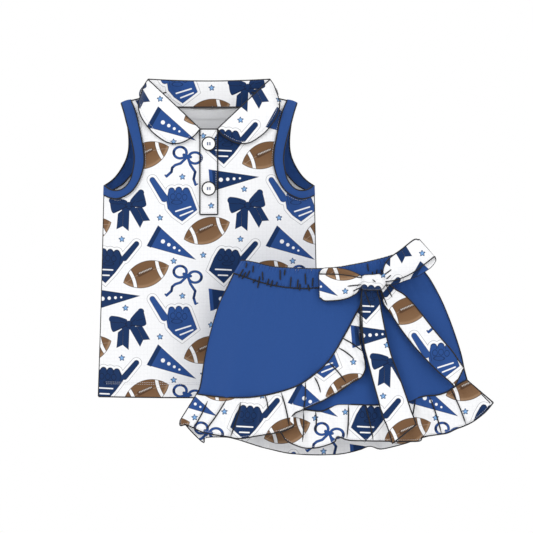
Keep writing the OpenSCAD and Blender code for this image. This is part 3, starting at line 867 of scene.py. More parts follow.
hem_st = []
for dz in (18.0, 20.5):
    h = cr([(-146, HEM + dz), (0, HEM + dz - 0.5), (146, HEM + dz)])
    hem_st += [P3(h, lambda x, z: y_front(x, z) - 0.22), P3(h, lambda x, z: y_back(x, z) + 0.22)]
for s in (-1, 1):
    for seam, yf, sg in ((ARM_SEAM_F, y_front, -1), (ARM_SEAM_B, y_back, 1)):
        q = cr([(a - 2.2, b - (0.8 if b > -110 else 2.2)) for a, b in seam[1:-1]])
        q = np.stack([s * q[:, 0], q[:, 1]], 1)
        hem_st.append(P3(q, lambda x, z: yf(x, z) + sg * 0.22))
st = stitches("topstitching_top", hem_st, M_STITCH)
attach(st, "top")

# ------------------------------------------------------------------ collar

LEAF_OUT = [(86, 30), (91, 22), (95, 11), (98.6, 1), (99.5, -6), (98.4, -15), (94.5, -25), (88, -35), (79, -45.5), (69, -53.5), (58, -60), (48, -61.5), (39, -60.5), (29, -56), (20.5, -50.5), (13.0, -42.0)]
SIL = np.array([(86, 30), (91, 22), (95, 11), (98.6, 1), (99.5, -6)], float)


def leaf_y(x, z, off):
    ax = np.abs(x)
    d = depth_top(ax, z, off, 55.0)
    dz = to_line(np.stack([ax, z], 1), SIL)
    e = np.clip(dz / 16.0, 0, 1)
    close = np.sqrt(np.clip(1 - (1 - e) ** 2, 0, 1))
    fade = ss(-np.asarray(z, float), 2, 22)
    return d * (close + (1 - close) * fade) + 0.3


def fold_d(x, z):
    """distance from the fold line of the collar, in the X-Z plane"""
    return to_line(np.stack([np.abs(x), z], 1), np.array([V_TOP, V_BOT]))


def leaf(sx, name, node):
    o = join(cr([V_BOT, V_TOP]), cr(LEAF_OUT))
    o = o.copy()
    if sx < 0:
        o[:, 0] *= -1
        o = o[::-1]

    def yf(x, z):
        d = fold_d(x, z)
        roll = 2.3 * (1 - np.clip(d / 5.0, 0, 1)) ** 2
        edge = to_line(np.stack([np.abs(x), z], 1), np.array(LEAF_OUT[5:], float))
        thin = 1.0 * (1 - np.clip(edge / 4.0, 0, 1)) ** 2
        wave = 0.8 * np.sin(np.abs(x) / 11.0 + z / 23.0) * ss(d, 6, 30)
        return -(leaf_y(x, z, 3.4) - roll - thin + wave)

    ob = sheet_xz(name, o, yf, M_PRINT, 1.7, M_WHITE, True, 3.2)
    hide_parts(node)
    area2(o) * 1e-6 * 1.1
    line = cr([V_BOT, V_TOP]); out = cr(LEAF_OUT)
    pp = []
    for c, dy in ((line, -0.5), (out, -0.3)):
        c = c.copy(); c[:, 0] *= sx
        q = P3(c, yf)
        q[:, 1] += dy * 0.6 + 0.5
        pp.append(q)
    ed = tubes(name + "_edge", pp, M_INK, 1.0)
    inner = cr([(a - 3.2 if a > 60 else a, b + (3.0 if b < -20 else 1.0)) for a, b in LEAF_OUT[4:-1]])
    inner[:, 0] *= sx
    sti = stitches(name + "_stitch", [P3(inner, yf) + np.array([0, -0.2, 0])], M_STITCH)
    for k in (ob, ed, sti):
        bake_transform(k)
    return ob, yf


leafL, yLL = leaf(-1, "collar_leaf_l", "collar_leaf_left")
leafR, yLR = leaf(1, "collar_leaf_r", "collar_leaf_right")


# stand: the wall of cloth between the neck seam and the fold
def stand(sx, name, node, yf):
    c = cr([V_BOT, (49, -6), V_TOP], 2.0)
    nt = 6
    P = np.zeros((len(c), nt, 3)); UV = np.zeros((len(c), nt, 2))
    yo = yf(sx * c[:, 0], c[:, 1]) + 1.8
    yi = np.maximum(y_front(c[:, 0], np.minimum(c[:, 1], 10 - 0.2 * c[:, 0])), yo + 0.5)
    yi = np.where(c[:, 1] > 0, np.maximum(yi, -2.0), yi)
    L = arc(c)
    for k in range(nt):
        t = k / (nt - 1)
        P[:, k, 0] = sx * (c[:, 0] + 0.9 + 2.2 * math.sin(math.pi * t) * 0.4)
        P[:, k, 2] = c[:, 1] - 0.9
        P[:, k, 1] = yo * (1 - t) + yi * t
        UV[:, k, 0] = sx * c[:, 0]; UV[:, k, 1] = c[:, 1] + 8 * t
    ob = grid(name, P, UV, M_PRINT, 1.0, M_WHITE, flip=sx > 0)
    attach(ob, "top"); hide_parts(node)
    return ob


stand(-1, "collar_wall_l", "collar_stand_left", yLL)
stand(1, "collar_wall_r", "collar_stand_right", yLR)


# back of the collar: band inside, roll at the top, fall outside
def collar_back():
    U = np.linspace(-1, 1, 75)
    rows = []
    zt = 27.3 + 2.2 * U ** 2
    ylens = lambda x, h=87.0, d=13.0: np.sqrt(np.maximum(((h * h + d * d) / (2 * d)) ** 2 - x * x, ((h * h + d * d) / (2 * d) - d) ** 2)) - ((h * h + d * d) / (2 * d) - d)
    nb, nr, nf = 10, 7, 13
    for k in range(nb):
        t = k / (nb - 1)
        W = 67 + 18.5 * t
        zb = -9 + 12 * np.clip((np.abs(U) * 67 - 44) / 23, 0, 1) ** 1.2
        rows.append(np.stack([U * W, ylens(U * W * 0.985), zb * (1 - t) + (zt - 2.0) * t], 1))
    yin = ylens(U * 85.5 * 0.985)
    fall = []
    for k in range(nf):
        t = k / (nf - 1)
        W = 86 * (1 - t) + 80 * t + 16 * math.sin(math.pi * t)
        x = U * W
        zb = -25 + 12 * U ** 2
        z = (zt - 1.5) * (1 - t) + zb * t
        d = depth_top(np.abs(x), z, 2.6, 55.0)
        e = np.clip((1 - np.abs(U)) / 0.17, 0, 1)
        d = d * np.sqrt(np.clip(1 - (1 - e) ** 2, 0, 1))
        fall.append(np.stack([x, np.maximum(d, ylens(x * 0.98) + 1.5 if t < 0.25 else d) + 0.3, z], 1))
    yout = fall[0][:, 1]
    for k in range(1, nr):
        a = math.pi * k / nr
        m, r = (yin + yout) / 2, (yout - yin) / 2
        rows.append(np.stack([U * 86, m - r * math.cos(a), zt - 1.8 + 2.2 * math.sin(a)], 1))
    rows += fall
    P = np.stack(rows, 1)
    UV = P[:, :, [0, 2]].copy()
    ob = grid("collar_back", P, UV, M_PRINT, 1.3, M_WHITE, flip=False)
    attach(ob, "top"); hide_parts("collar_band_back", "collar_fall_back")
    top = P[:, nb + 2].copy(); top[:, 2] += 0.3
    low = P[:, 0].copy(); low[:, 1] -= 0.2
    bot = P[:, -1].copy(); bot[:, 1] += 0.1
    sil = [np.stack([s * SIL[:, 0], np.full(len(SIL), 0.3), SIL[:, 1]], 1) for s in (-1, 1)]
    ed = tubes("collar_back_edge", [top, low, bot], M_INK, 1.0)
    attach(ed, "top")
    return ob


collar_back()

# ------------------------------------------------------------------ placket and buttons


def strip(name, x0, x1, z0, z1, yf, mat, th, inner=None):
    o = join(cr([(x0, z1), (x1, z1)]), cr([(x1, z1), (x1, z0)]), cr([(x1, z0), (x0, z0)]), cr([(x0, z0), (x0, z1)]))
    return sheet_xz(name, o, yf, mat, th, inner, True, 3.0)


y_pl = lambda x, z: y_front(x, z) - 2.1 + 0.5 * (np.clip(np.abs(x) - 10.5, 0, 2) / 2) ** 2
under = strip("placket_under_layer", -11, 11, -159.5, -43, lambda x, z: y_front(x, z) - 1.0, M_WHITE, 0.7)
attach(under, "top"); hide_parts("placket_under")
plk = strip("placket_top_layer", -12.4, 12.4, -161.3, -41.3, y_pl, M_PRINT, 1.0, M_WHITE)
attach(plk, "top"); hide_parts("placket_upper")
c = [cr([(-12.4, -41.3), (-12.4, -161.3)]), cr([(-12.4, -161.3), (12.4, -161.3)]), cr([(12.4, -161.3), (12.4, -41.3)]), cr([(-12.4, -41.3), (12.4, -41.3)])]
ed = tubes("placket_edges", [P3(k, lambda x, z: y_pl(x, z) + 0.15) for k in c], M_INK, 1.0)
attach(ed, "top")
c = [cr([(-10.2, -43), (-10.2, -158.6)]), cr([(-10.2, -158.8), (10.2, -158.8)]), cr([(10.2, -158.6), (10.2, -43)]), cr([(-10.2, -151), (10.2, -151)])]
sts = stitches("placket_stitch", [P3(k, lambda x, z: y_pl(x, z) - 0.2) for k in c], M_STITCH)
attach(sts, "top")


def button(name, node, thread, body, z, y):
    """Turned button with a rolled rim, a dished middle and four holes; y is its back."""
    prof = [(0, 0), (7.2, 0), (8.4, 0.25), (9.2, 0.8), (9.5, 1.35), (9.3, 1.95), (8.6, 2.35), (7.7, 2.4), (6.9, 2.15), (6.3, 1.75), (5.6, 1.6), (3.0, 1.52), (0, 1.5)]
    prof = np.array(prof)
    n = 56
    V, F = [], []
    for i in range(n):
        a = 2 * math.pi * i / n
        for r, h in prof[1:-1]:
            V.append((r * math.cos(a), -h, r * math.sin(a)))
    m = len(prof) - 2
    for i in range(n):
        j = (i + 1) % n
        for k in range(m - 1):
            F.append((i * m + k, j * m + k, j * m + k + 1, i * m + k + 1))
    V += [(0, 0, 0), (0, -1.5, 0)]
    for i in range(n):
        j = (i + 1) % n
        F.append((j * m, i * m, n * m))
        F.append((i * m + m - 1, j * m + m - 1, n * m + 1))
    V = np.array(V, float)
    F = [tuple(reversed(f)) for f in F]
    ob = build(name, V + np.array([0, y, z]), F, V[:, [0, 2]], M_BUTTON, sharp=60)
    for k in range(4):
        a = math.radians(45 + 90 * k)
        bpy.ops.mesh.primitive_cylinder_add(vertices=20, radius=0.00095, depth=0.01, location=(2.25 * S * math.cos(a), y * S, z * S + 2.25 * S * math.sin(a)), rotation=(math.pi / 2, 0, 0))
        cut = bpy.context.object
        md = ob.modifiers.new("hole", "BOOLEAN")
        md.operation = "DIFFERENCE"; md.solver = "EXACT"; md.object = cut
        with bpy.context.temp_override(object=ob, active_object=ob):
            bpy.context.view_layer.objects.active = ob
            bpy.ops.object.modifier_apply(modifier="hole")
        bpy.data.objects.remove(cut, do_unlink=True)
    ob.data.set_sharp_from_angle(angle=math.radians(40))
    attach(ob, body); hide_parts(node)
    d = 2.25 * math.cos(math.radians(45))
    paths = []
    for s in (-1, 1):
        for q in (-0.32, 0.32):
            a = np.linspace(0, math.pi, 9)
            paths.append(np.stack([np.full(9, s * d + q), y - 1.3 - 0.75 * np.sin(a) ** 0.6, z + d * np.cos(a)], 1))
    th = tubes(name + "_thread", paths, M_BLUE_THREAD, 0.34, 6)
    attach(th, body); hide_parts(thread)
    ring = np.array([(9.3 * math.cos(a), 0, 9.3 * math.sin(a)) for a in np.linspace(0, 2 * math.pi, 64, endpoint=False)]) + np.array([0, y - 2.0, z])
    rg = tubes(name + "_rim", [(ring, True)], M_INK, 1.0, 8)
    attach(rg, body)
    return ob


button("button_1", "button_upper", "button_thread_upper", "button_top", -62, -36.4)
button("button_2", "button_lower", "button_thread_lower", "button_bottom", -125, -38.6)
shank = tubes("thread_shank", [np.array([(0.4 * math.cos(a), y0 + dy, z0 + 0.9 * math.sin(a)) for a, dy in zip(np.linspace(0, 18, 50), np.linspace(0, 1.6, 50))]) for y0, z0 in ((-36.2, -62), (-38.4, -125))], M_BLUE_THREAD, 0.4, 6)
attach(shank, "top"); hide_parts("thread_shanks")

# ------------------------------------------------------------------ the skirt: form

C4, S4 = math.cos(math.radians(4)), math.sin(math.radians(4))


def sk_uw(x, z):
    x = np.asarray(x, float); z = np.asarray(z, float)
    return (x - 167) * C4 + (z + 226) * S4, -(x - 167) * S4 + (z + 226) * C4


def sk_half(w):
    return 115 + 134 * (40 - w) / 330.0


def sk_depth(x, z, off=0.0):
    u, w = sk_uw(x, z)
    H = sk_half(w)
    D = 20 + 27 * (40 - w) / 330.0
    r = (H * H + D * D) / (2 * D)
    y = np.sqrt(np.maximum((r + off) ** 2 - u * u, (r - D) ** 2)) - (r - D)
    return np.maximum(y, 0.0)


WB_TOP = [(46, -227), (64, -230), (89, -236), (114, -238), (152, -239), (180, -237), (198, -234), (219, -230), (240, -225), (254, -221), (285, -211)]
WB_LOW = [(36, -244), (51, -249), (72, -256), (93, -261), (114, -264), (135, -265), (153, -264), (184, -263), (211, -260), (240, -256), (270, -249), (299, -240)]
SIDE_L = [(-16, -412), (-12, -405), (-9, -391), (-5, -365), (1, -337), (8, -311), (17, -284), (27, -263), (36, -244.4)]
SIDE_R = [(300, -241), (310, -255), (324, -281), (335, -307), (345, -335), (352, -358), (356, -377), (360, -392)]
WRAP = [(213, -272), (211, -288), (204, -302), (194, -321), (185, -337), (178, -349), (170, -361), (159, -374), (146, -385), (132, -395), (118, -402), (100, -408), (79, -413), (58, -416), (37, -416.5), (9, -415), (-16, -412)]
OVER_HEM = [(211.5, -295), (210.5, -330), (212, -344), (217, -363), (218, -372), (217, -379), (212, -388), (198, -396), (184, -406), (170, -414), (159, -420), (146, -426), (128, -434), (120, -438), (114, -447), (119, -455), (107, -461), (93, -465), (75, -468), (44, -473), (23, -470), (2, -467), (-12, -463), (-30, -455), (-39, -456), (-39, -449)]
UNDER_SEAM = [(-14, -408), (9, -420), (50, -428), (100, -430), (135, -433), (156, -435), (167, -431), (177, -426), (188, -425), (212, -426), (240, -426), (279, -421), (289, -417), (303, -414), (318, -413), (331, -409), (342, -402), (352, -396), (360, -392.4)]
UNDER_HEM = [(-22, -444), (8, -456), (60, -462), (96, -462), (108, -475), (121, -482), (135, -486), (153, -485), (170, -480), (176, -477), (180, -470), (195, -475), (226, -476), (289, -477), (297, -471), (310, -469), (331, -466), (345, -460), (359, -455), (373, -447), (386, -437), (397, -424)]
BACK_SEAM = [(-16, -412), (60, -436), (140, -444), (220, -438), (300, -420), (360, -392)]
BACK_HEM = [(-34, -452), (-19, -469), (-6, -480), (-4, -473), (23, -472.5), (37, -475), (65, -484), (86, -490), (114, -496), (142, -498), (170, -498), (191, -496), (212, -491), (226, -486), (240, -490), (257, -487), (275, -482), (289, -477), (330, -464), (370, -445), (392, -424)]
SKC = np.array(cr([(36, -244), (27, -263), (17, -284), (8, -311), (1, -337), (-5, -365), (-9, -391), (-12, -405), (-16, -412)]))
SKR = np.array(cr(SIDE_R))


def side_gap(x, z):
    """distance from the nearer side of the skirt"""
    zl = np.interp(-np.asarray(z, float), -SKC[:, 1], SKC[:, 0])
    zr = np.interp(-np.asarray(z, float), -SKR[:, 1], SKR[:, 0])
    return np.minimum(x - zl, zr - x)


def close(g, w=14.0):
    e = np.clip(g / w, 0, 1)
    return np.sqrt(np.clip(1 - (1 - e) ** 2, 0, 1))


def skirt_folds(x, z):
    """soft vertical folds that start as small gathers under the waistband"""
    u, w = sk_uw(x, z)
    t = u / sk_half(w)
    d = np.clip(-(w + 33), 0, 400)
    small = np.exp(-d / 22.0) * ss(d, 0, 5) * 1.25 * np.sin(t * 62 + 1.2 * np.sin(t * 17))
    big = ss(d, 10, 150) * (1.7 * np.sin(t * 15.0 + 0.6 + 0.25 * np.sin(d / 60.0)) + 1.0 * np.sin(t * 26.0 + 2.0))
    return small + big


def y_skf(x, z, off):
    """front of the skirt, folds included"""
    g = side_gap(x, z)
    return -95 - (sk_depth(x, z, off) + skirt_folds(x, z) * ss(g, 3, 34)) * close(g)


def y_skb(x, z, off):
    g = side_gap(x, z)
    return -95 + (sk_depth(x, z, off) + skirt_folds(-x + 320, z) * ss(g, 3, 34)) * close(g)


UVS = np.array([0.0, 0.0])

# waistband: one gathered ring, front then back
nw, kw, kf, ki = 240, 17, 4, 9
wt, wl = resample(cr(WB_TOP), n=nw), resample(cr(WB_LOW), n=nw)
ring_i = np.concatenate([np.arange(nw), np.arange(nw - 2, 0, -1)])
side_s = np.concatenate([-np.ones(nw), np.ones(nw - 2)])
Lw = arc(wl)


def gather(s, seed):
    """a row of small tucks with uneven spacing"""
    p = np.cumsum(np.random.default_rng(seed).uniform(0.6, 1.5, 200)) * 5.2
    k = np.searchsorted(p, s)
    a = np.where(k > 0, p[np.clip(k - 1, 0, 199)], 0.0)
    b = p[np.clip(k, 0, 199)]
    return np.sin(np.pi * (s - a) / (b - a)) ** 0.7


g = np.minimum(ring_i, nw - 1 - ring_i) * (Lw[-1] / (nw - 1))
s_ = Lw[ring_i]
puck = np.where(side_s < 0, gather(s_, 3), gather(s_, 5))
puck2 = np.where(side_s < 0, gather(s_, 8), gather(s_, 9))


def wb_row(t, off, dz=0.0):
    xz = wt[ring_i] * (1 - t) + wl[ring_i] * t
    d = sk_depth(xz[:, 0], xz[:, 1], 0.0)
    return np.stack([xz[:, 0], -95 + side_s * np.maximum(d + off, 0.7) * close(g + 0.01, 9.0), xz[:, 1] + dz], 1), xz


rows_ = []
for k in range(kw):                          # outside, from the lower edge up
    t = 1 - k / (kw - 1)
    edge = min(t, 1 - t) * 2
    crown = 2.9 * math.sin(math.pi * min(1, edge * 0.5 + 0.12)) ** 0.5
    amp = (1 - ss(edge, 0.15, 0.75)) * 1.5 + 0.35
    rows_.append(wb_row(t, crown + amp * ((puck if t < 0.5 else puck2) - 0.65), (0.45 * (puck - 0.6) if t < 0.1 else 0)))
q0 = 2.9 * math.sin(math.pi * 0.12) ** 0.5 + 1.85 * (puck - 0.65)
for k in range(1, kf):                       # over the top edge
    a_ = math.pi * k / kf
    rows_.append(wb_row(0.0, (q0 + -1.9) / 2 + (q0 + 1.9) / 2 * math.cos(a_), 0.45 * (puck - 0.6) + 1.2 * math.sin(a_)))
for k in range(ki):                          # the inside, down again
    t = k / (ki - 1) * 0.96
    rows_.append(wb_row(t, -1.9 + 0.45 * (puck - 0.5) * (1 - ss(min(t, 1 - t) * 2, 0.1, 0.8))))
P = np.stack([r[0] for r in rows_], 1)
UV = np.stack([r[1] for r in rows_], 1)
m1 = P[61, 8] - P[60, 8]; m2 = P[60, 9] - P[60, 8]
wb = grid("waistband_gathered", P, UV, M_ROYAL, 0.8, M_ROYAL, wrap=True, flip=np.cross(m1, m2)[1] > 0)
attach(wb, "skirt"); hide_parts("waistband_front", "waistband_back")
top_edge = P[:, kw + 1].copy(); low_edge = P[:, 0].copy(); low_edge[:, 1] += side_s * 0.3
wink = [(top_edge, True), (low_edge, True)]
# short dark cords across both edges on the gather creases: painted crease shade, standing in for the shade in the folds
STROKES = [((243.5, 269.0), (238.7, 277.5)), ((246.0, 272.0), (242.0, 279.0)), ((250.0, 270.5), (246.8, 277.0)), ((253.5, 265.5), (253.0, 272.5)), ((255.3, 279.0), (253.0, 283.0)), ((260.0, 276.0), (257.6, 288.0)),
           ((262.4, 271.5), (262.9, 280.5)), ((268.8, 278.5), (266.8, 285.5)), ((272.6, 279.8), (270.4, 287.0)), ((277.4, 281.5), (275.6, 286.8)), ((279.9, 269.5), (280.2, 280.0)), ((284.9, 269.0), (284.2, 275.5)), ((291.0, 276.5), (290.0, 287.5)),
           ((297.8, 279.0), (296.8, 289.0)), ((299.9, 283.5), (299.2, 290.5)), ((304.8, 273.0), (305.4, 284.5)), ((307.5, 284.0), (309.0, 291.0)), ((312.6, 277.5), (311.8, 286.5)), ((366.5, 263.5), (367.5, 271.0)), ((371.5, 271.5), (371.8, 274.5)), ((376.0, 269.5), (375.6, 273.5)), ((380.5, 269.0), (380.2, 273.0)), ((247.0, 262.5), (246.0, 268.0))]


def XZ(p):
    return ((p[0] - 208.6) * 1.4, (99 - p[1]) * 1.4)


def wb_y(x, z, lift=0.5):
    """front of the waistband or, below it, of the wrap"""
    q = np.stack([np.asarray(x, float), np.asarray(z, float)], 1)
    F = P[:nw, :kw].reshape(-1, 3)
    out = []
    for a in q:
        dd = (F[:, 0] - a[0]) ** 2 + (F[:, 2] - a[1]) ** 2
        i = np.argsort(dd)[:9]
        y = y_skf(a[:1], a[1:], 1.5)[0] - 0.3
        if dd[i[0]] < 6:
            y = min(y, F[i, 1].min())
        out.append(y - lift)
    return np.array(out)


sp = []
for a, b in STROKES:
    c = cr([XZ(a), XZ(b)], 1.5)
    sp.append(np.stack([c[:, 0], wb_y(c[:, 0], c[:, 1], 0.8), c[:, 1]], 1))
# short dark cords on the back band at the gathers: painted crease shade
back_crease_shade_cords = []
for s0 in np.arange(14, 250, 9.0):
    i = int(np.argmin(np.abs(Lw - s0)))
    j = len(ring_i) - i
    if not nw < j < len(ring_i):
        continue
    for r0, r1 in ((0, 5), (12, 17)):
        if rng.random() < 0.75:
            q = P[j, r0:r1].copy(); q[:, 1] += 0.25
            back_crease_shade_cords.append(q)
wed = tubes("waistband_edges", wink, M_INK, 1.0)
# dark cords on the gathers of the band: painted crease shade
wtu = tubes("waistband_crease_shade_cords", sp + back_crease_shade_cords, M_INK, 1.0, taper=True)
for o in (wed, wtu):
    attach(o, "skirt")

# elastic inside the band
t = np.linspace(0, 1, 90)
core = np.stack([46 + 240 * t, -238 - 12 * np.sin(np.pi * t) + 14 * t], 1)
ce = np.vstack([core, core[::-1][1:-1]])
sg = np.concatenate([-np.ones(90), np.ones(88)])
P2 = np.zeros((len(ce), 4, 3)); UV2 = np.zeros((len(ce), 4, 2))
for k in range(4):
    z = ce[:, 1] + (4.5 - 3 * k)
    i = np.minimum(np.arange(len(ce)), np.abs(89 - np.arange(len(ce))))
    i = np.minimum(i, len(ce) - np.arange(len(ce)))
    P2[:, k] = np.stack([ce[:, 0], -95 + sg * (sk_depth(ce[:, 0], z, 0.2)) * close(i * 2.7 + 0.01, 9), z], 1)
    UV2[:, k, 0] = np.concatenate([arc(core), 260 + arc(core)[1:-1]]); UV2[:, k, 1] = 3 * k
ela = grid("waist_elastic_strip", P2, UV2, M_ELASTIC, 0.8, M_ELASTIC, wrap=True)
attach(ela, "skirt"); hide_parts("waist_elastic")

# jersey panels
sl = cr(SIDE_L[::-1])                       # from the waist down
wrapc = cr(WRAP)
wlow = cr([(x, z + 1.5) for x, z in WB_LOW[:9]])
over_o = join(wlow, cr([(211, -258.5), (213, -272)]), wrapc, sl[::-1])
over = sheet_xz("overskirt_jersey", over_o, lambda x, z: y_skf(x, z, 1.5), M_ROYAL, 1.2, M_ROYAL, True, 4.5)
FOLD_A, FOLD_B = (0.201 - 0.718 * 0.010 + 0.0, -0.125, -0.307 + 0.696 * 0.010), (0.201 + 0.718 * 0.012, -0.125, -0.307 - 0.696 * 0.012)


def flap(o):
    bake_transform(o)


flap(over)
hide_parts("overskirt_panel", "wrap_flap_panel")
min(area2(over_o) * 1e-6 * 1.03, 0.26 * 0.20)

sr = cr(SIDE_R)
unds = cr(UNDER_SEAM)
und_o = join(cr([(x, z + 1.0) for x, z in WB_LOW]), cr([(299, -239), (300, -241)]), sr, unds[::-1], cr([(-14, -408), (-7, -391), (-3, -365), (3, -337), (10, -311), (19, -284), (29, -263), (36, -243)]))
under_p = sheet_xz("underskirt_jersey", und_o, lambda x, z: y_skf(x, z, -2.0) * 1.0 + 0.8, M_ROYAL, 1.2, M_ROYAL, True, 5.0)
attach(under_p, "skirt"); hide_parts("underskirt_panel")
area2(und_o) * 1e-6 * 1.03

bks = cr(BACK_SEAM)
bk_o = join(cr([(x, z + 1.0) for x, z in WB_LOW]), cr([(299, -239), (300, -241)]), sr, bks[::-1], cr(SIDE_L))
back_p = sheet_xz("skirt_back_jersey", bk_o, lambda x, z: y_skb(x, z, 0.0), M_ROYAL, 1.2, M_ROYAL, False, 5.0)
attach(back_p, "skirt"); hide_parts("skirt_back_panel", "skirt_side_seam_left", "skirt_side_seam_right")
area2(bk_o) * 1e-6 * 1.03


# ---- ruffles: from the seam to the hem, the waves growing towards the hem
def ruffle(name, seam, hem, nn, off0, back, amp, waves, creases, mat, base_shift=0.0, rows=15, seed=1, fine=34, end_close=(True, True), offs=0.0, inner=None):
    inner = inner or M_WHITE
    A, B = resample(cr(seam), n=nn), resample(cr(hem), n=nn)
    s = arc(B)
    L = s[-1]
    u = s / L
    g = np.random.default_rng(seed)
    ph1, ph2, ph3 = g.uniform(0, 6.28, 3)
    warp = u + 0.014 * np.sin(9 * u + ph3)
    P = np.zeros((nn, rows, 3)); UV = np.zeros((nn, rows, 2))
    cre = [(np.array(XZ(a)), np.array(XZ(b)), k) for a, b, k in creases]
    for k in range(rows):
        t = k / (rows - 1)
        xz = A * (1 - t) + B * t
        # the lower part bells outwards
        d = sk_depth(xz[:, 0], np.maximum(xz[:, 1], -418 - 0.25 * (-418 - xz[:, 1])), off0)
        bell = offs * t ** 1.3
        big = amp * (t ** 1.15) * (np.sin(2 * np.pi * waves * warp + ph1) + 0.45 * np.sin(2 * np.pi * waves * 1.83 * warp + ph2))
        sm = 0.75 * (1 - t) * ss(t, 0.0, 0.10) * np.sin(2 * np.pi * fine * warp)
        dent = np.zeros(nn)
        for a, b, w in cre:
            ab = b - a
            tt = np.clip(((xz - a) @ ab) / (ab @ ab), 0, 1)
            dd = np.linalg.norm(xz - a - tt[:, None] * ab, axis=1)
            dent -= w * np.exp(-(dd / 2.6) ** 2) - 0.45 * w * np.exp(-((dd - 6.0) / 3.5) ** 2)
        q = d + bell + big + sm + dent * (0.5 + 0.5 * t)
        e = np.ones(nn)
        m = np.arange(nn) * (L / (nn - 1))
        if end_close[0]:
            e *= close(m + 0.01, 14.0)
        if end_close[1]:
            e *= close(L - m + 0.01, 14.0)
        q = np.maximum(q, 0.6) * e
        P[:, k, 0] = xz[:, 0]
        P[:, k, 1] = -95 + (1 if back else -1) * q + base_shift
        P[:, k, 2] = xz[:, 1]
        UV[:, k] = xz
    # back faces the other way
    a, b = P[nn // 2 + 1, rows // 2] - P[nn // 2, rows // 2], P[nn // 2, rows // 2 + 1] - P[nn // 2, rows // 2]
    towards = np.cross(a, b)[1] > 0
    ob = grid(name, P, UV, mat, 0.95, inner, flip=towards != bool(back))
    return ob, P


R_OVER = [((208, 400), (194, 427), 1.6), ((227, 398), (206, 429), 1.6), ((241, 401), (231, 435), 1.6), ((265, 394), (268, 409), 1.1), ((281, 391), (289, 424), 1.6), ((305, 381), (303, 410), 1.4), ((303, 410), (302, 440), 1.4), ((314, 376), (320, 391), 1.0), ((328, 361), (345, 381), 1.2), ((341, 337), (361, 350), 1.1), ((338, 347), (353, 358), 1.0)]
R_UND = [((315, 410), (315, 430), 1.2), ((347.5, 403), (346, 436), 1.5), ((364, 404), (372, 438), 1.5), ((428, 395), (440, 432), 1.6), ((449, 387), (465, 424), 1.6), ((414, 398), (408, 425), 1.3)]
rf_u, PU = ruffle("underskirt_frill", UNDER_SEAM, UNDER_HEM, 260, -2.6, False, 2.4, 11, R_UND, M_PRINT_SK, seed=4, offs=-1.0)
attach(rf_u, "skirt"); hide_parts("underskirt_ruffle")
rf_b, PB = ruffle("skirt_back_frill", BACK_SEAM, BACK_HEM, 260, 0.6, True, 2.6, 11, [], M_PRINT_SK, seed=9, offs=0.5, inner=M_PRINT_SK)
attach(rf_b, "skirt"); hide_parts("skirt_back_ruffle")
rf_o, PO = ruffle("overskirt_frill", WRAP, OVER_HEM, 300, 2.4, False, 2.0, 12, R_OVER, M_PRINT_SK, seed=2, offs=2.2, end_close=(False, True))
flap(rf_o)
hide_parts("overskirt_ruffle", "wrap_flap_ruffle")


# dark cords along the ruffle creases, over the dents of the folds: painted crease shade
def crease_paths(creases, P, lift):
    F = P.reshape(-1, 3)
    out = []
    for a, b, _ in creases:
        c = cr([XZ(a), XZ(b)], 2.0)
        # a slight curve reads as cloth rather than as a drawn line
        n = len(c)
        t = np.linspace(0, 1, n)
        d = c[-1] - c[0]
        nrm = np.array([-d[1], d[0]]) / np.linalg.norm(d)
        c = c + np.outer(np.sin(np.pi * t) * 1.1, nrm)
        y = []
        for q in c:
            dist = (F[:, 0] - q[0]) ** 2 + (F[:, 2] - q[1]) ** 2
            i = np.argsort(dist)[:4]
            w = 1 / (dist[i] + 0.05)
            y.append(np.sum(F[i, 1] * w) / np.sum(w))
        out.append(np.stack([c[:, 0], np.array(y) - lift, c[:, 1]], 1))
    return out


# painted crease shade: dark cords along the creases of both ruffles
cu = tubes("underskirt_crease_shade_cords", crease_paths(R_UND, PU, 0.5), M_INK, 0.95, taper=True)
co = tubes("overskirt_crease_shade_cords", crease_paths(R_OVER, PO, 0.5), M_INK, 0.95, taper=True)
flap(co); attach(cu, "skirt")


def edge_of(P, row, dy):
    q = P[:, row].copy()
    q[:, 1] += dy
    return q


oe = tubes("overskirt_edges", [edge_of(PO, 0, -0.5), edge_of(PO, -1, 0.25), PO[0][:, :] + np.array([0, -0.1, 0])], M_INK, 1.0)
flap(oe)
ue = tubes("underskirt_edges", [edge_of(PU, 0, -0.4), edge_of(PU, -1, 0.2), PU[-1] + np.array([0, 0, 0]), edge_of(PB, 0, 0.4), edge_of(PB, -1, -0.2), PB[0] + 0.0, PB[-1] + 0.0, PO[-1] + np.array([0, 0.1, 0])], M_INK, 1.0)
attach(ue, "skirt")
sides = [np.stack([sl[:, 0] - 0.3, np.full(len(sl), -95.3), sl[:, 1]], 1), np.stack([sr[:, 0] + 0.3, np.full(len(sr), -95.0), sr[:, 1]], 1)]
se = tubes("skirt_side_edges", sides, M_INK, 1.0)
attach(se, "skirt")

# narrow turned hems, sewn
hs = []
for P_, s_ in ((PU, -1), (PB, 1)):
    q = P_[:, -2] * 0.62 + P_[:, -1] * 0.38
    q[:, 1] += s_ * 0.28
    hs.append(q)
hst = stitches("ruffle_hem_stitch", hs, M_STITCH)
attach(hst, "skirt")
q = PO[:, -2] * 0.62 + PO[:, -1] * 0.38
q[:, 1] -= 0.28
ost = stitches("overskirt_hem_stitch", [q], M_STITCH)
flap(ost)
# topstitching on the jersey beside the ruffle seams
w1 = np.array(cr([(x + (-2.0 if z > -400 else -0.4), z + (1.6 if z < -330 else 0.4)) for x, z in WRAP[1:-1]]))
sw = stitches("wrap_topstitch", [np.stack([w1[:, 0], y_skf(w1[:, 0], w1[:, 1], 1.5) - 0.25, w1[:, 1]], 1)], M_BLUE_THREAD)
flap(sw)

# ------------------------------------------------------------------ bow

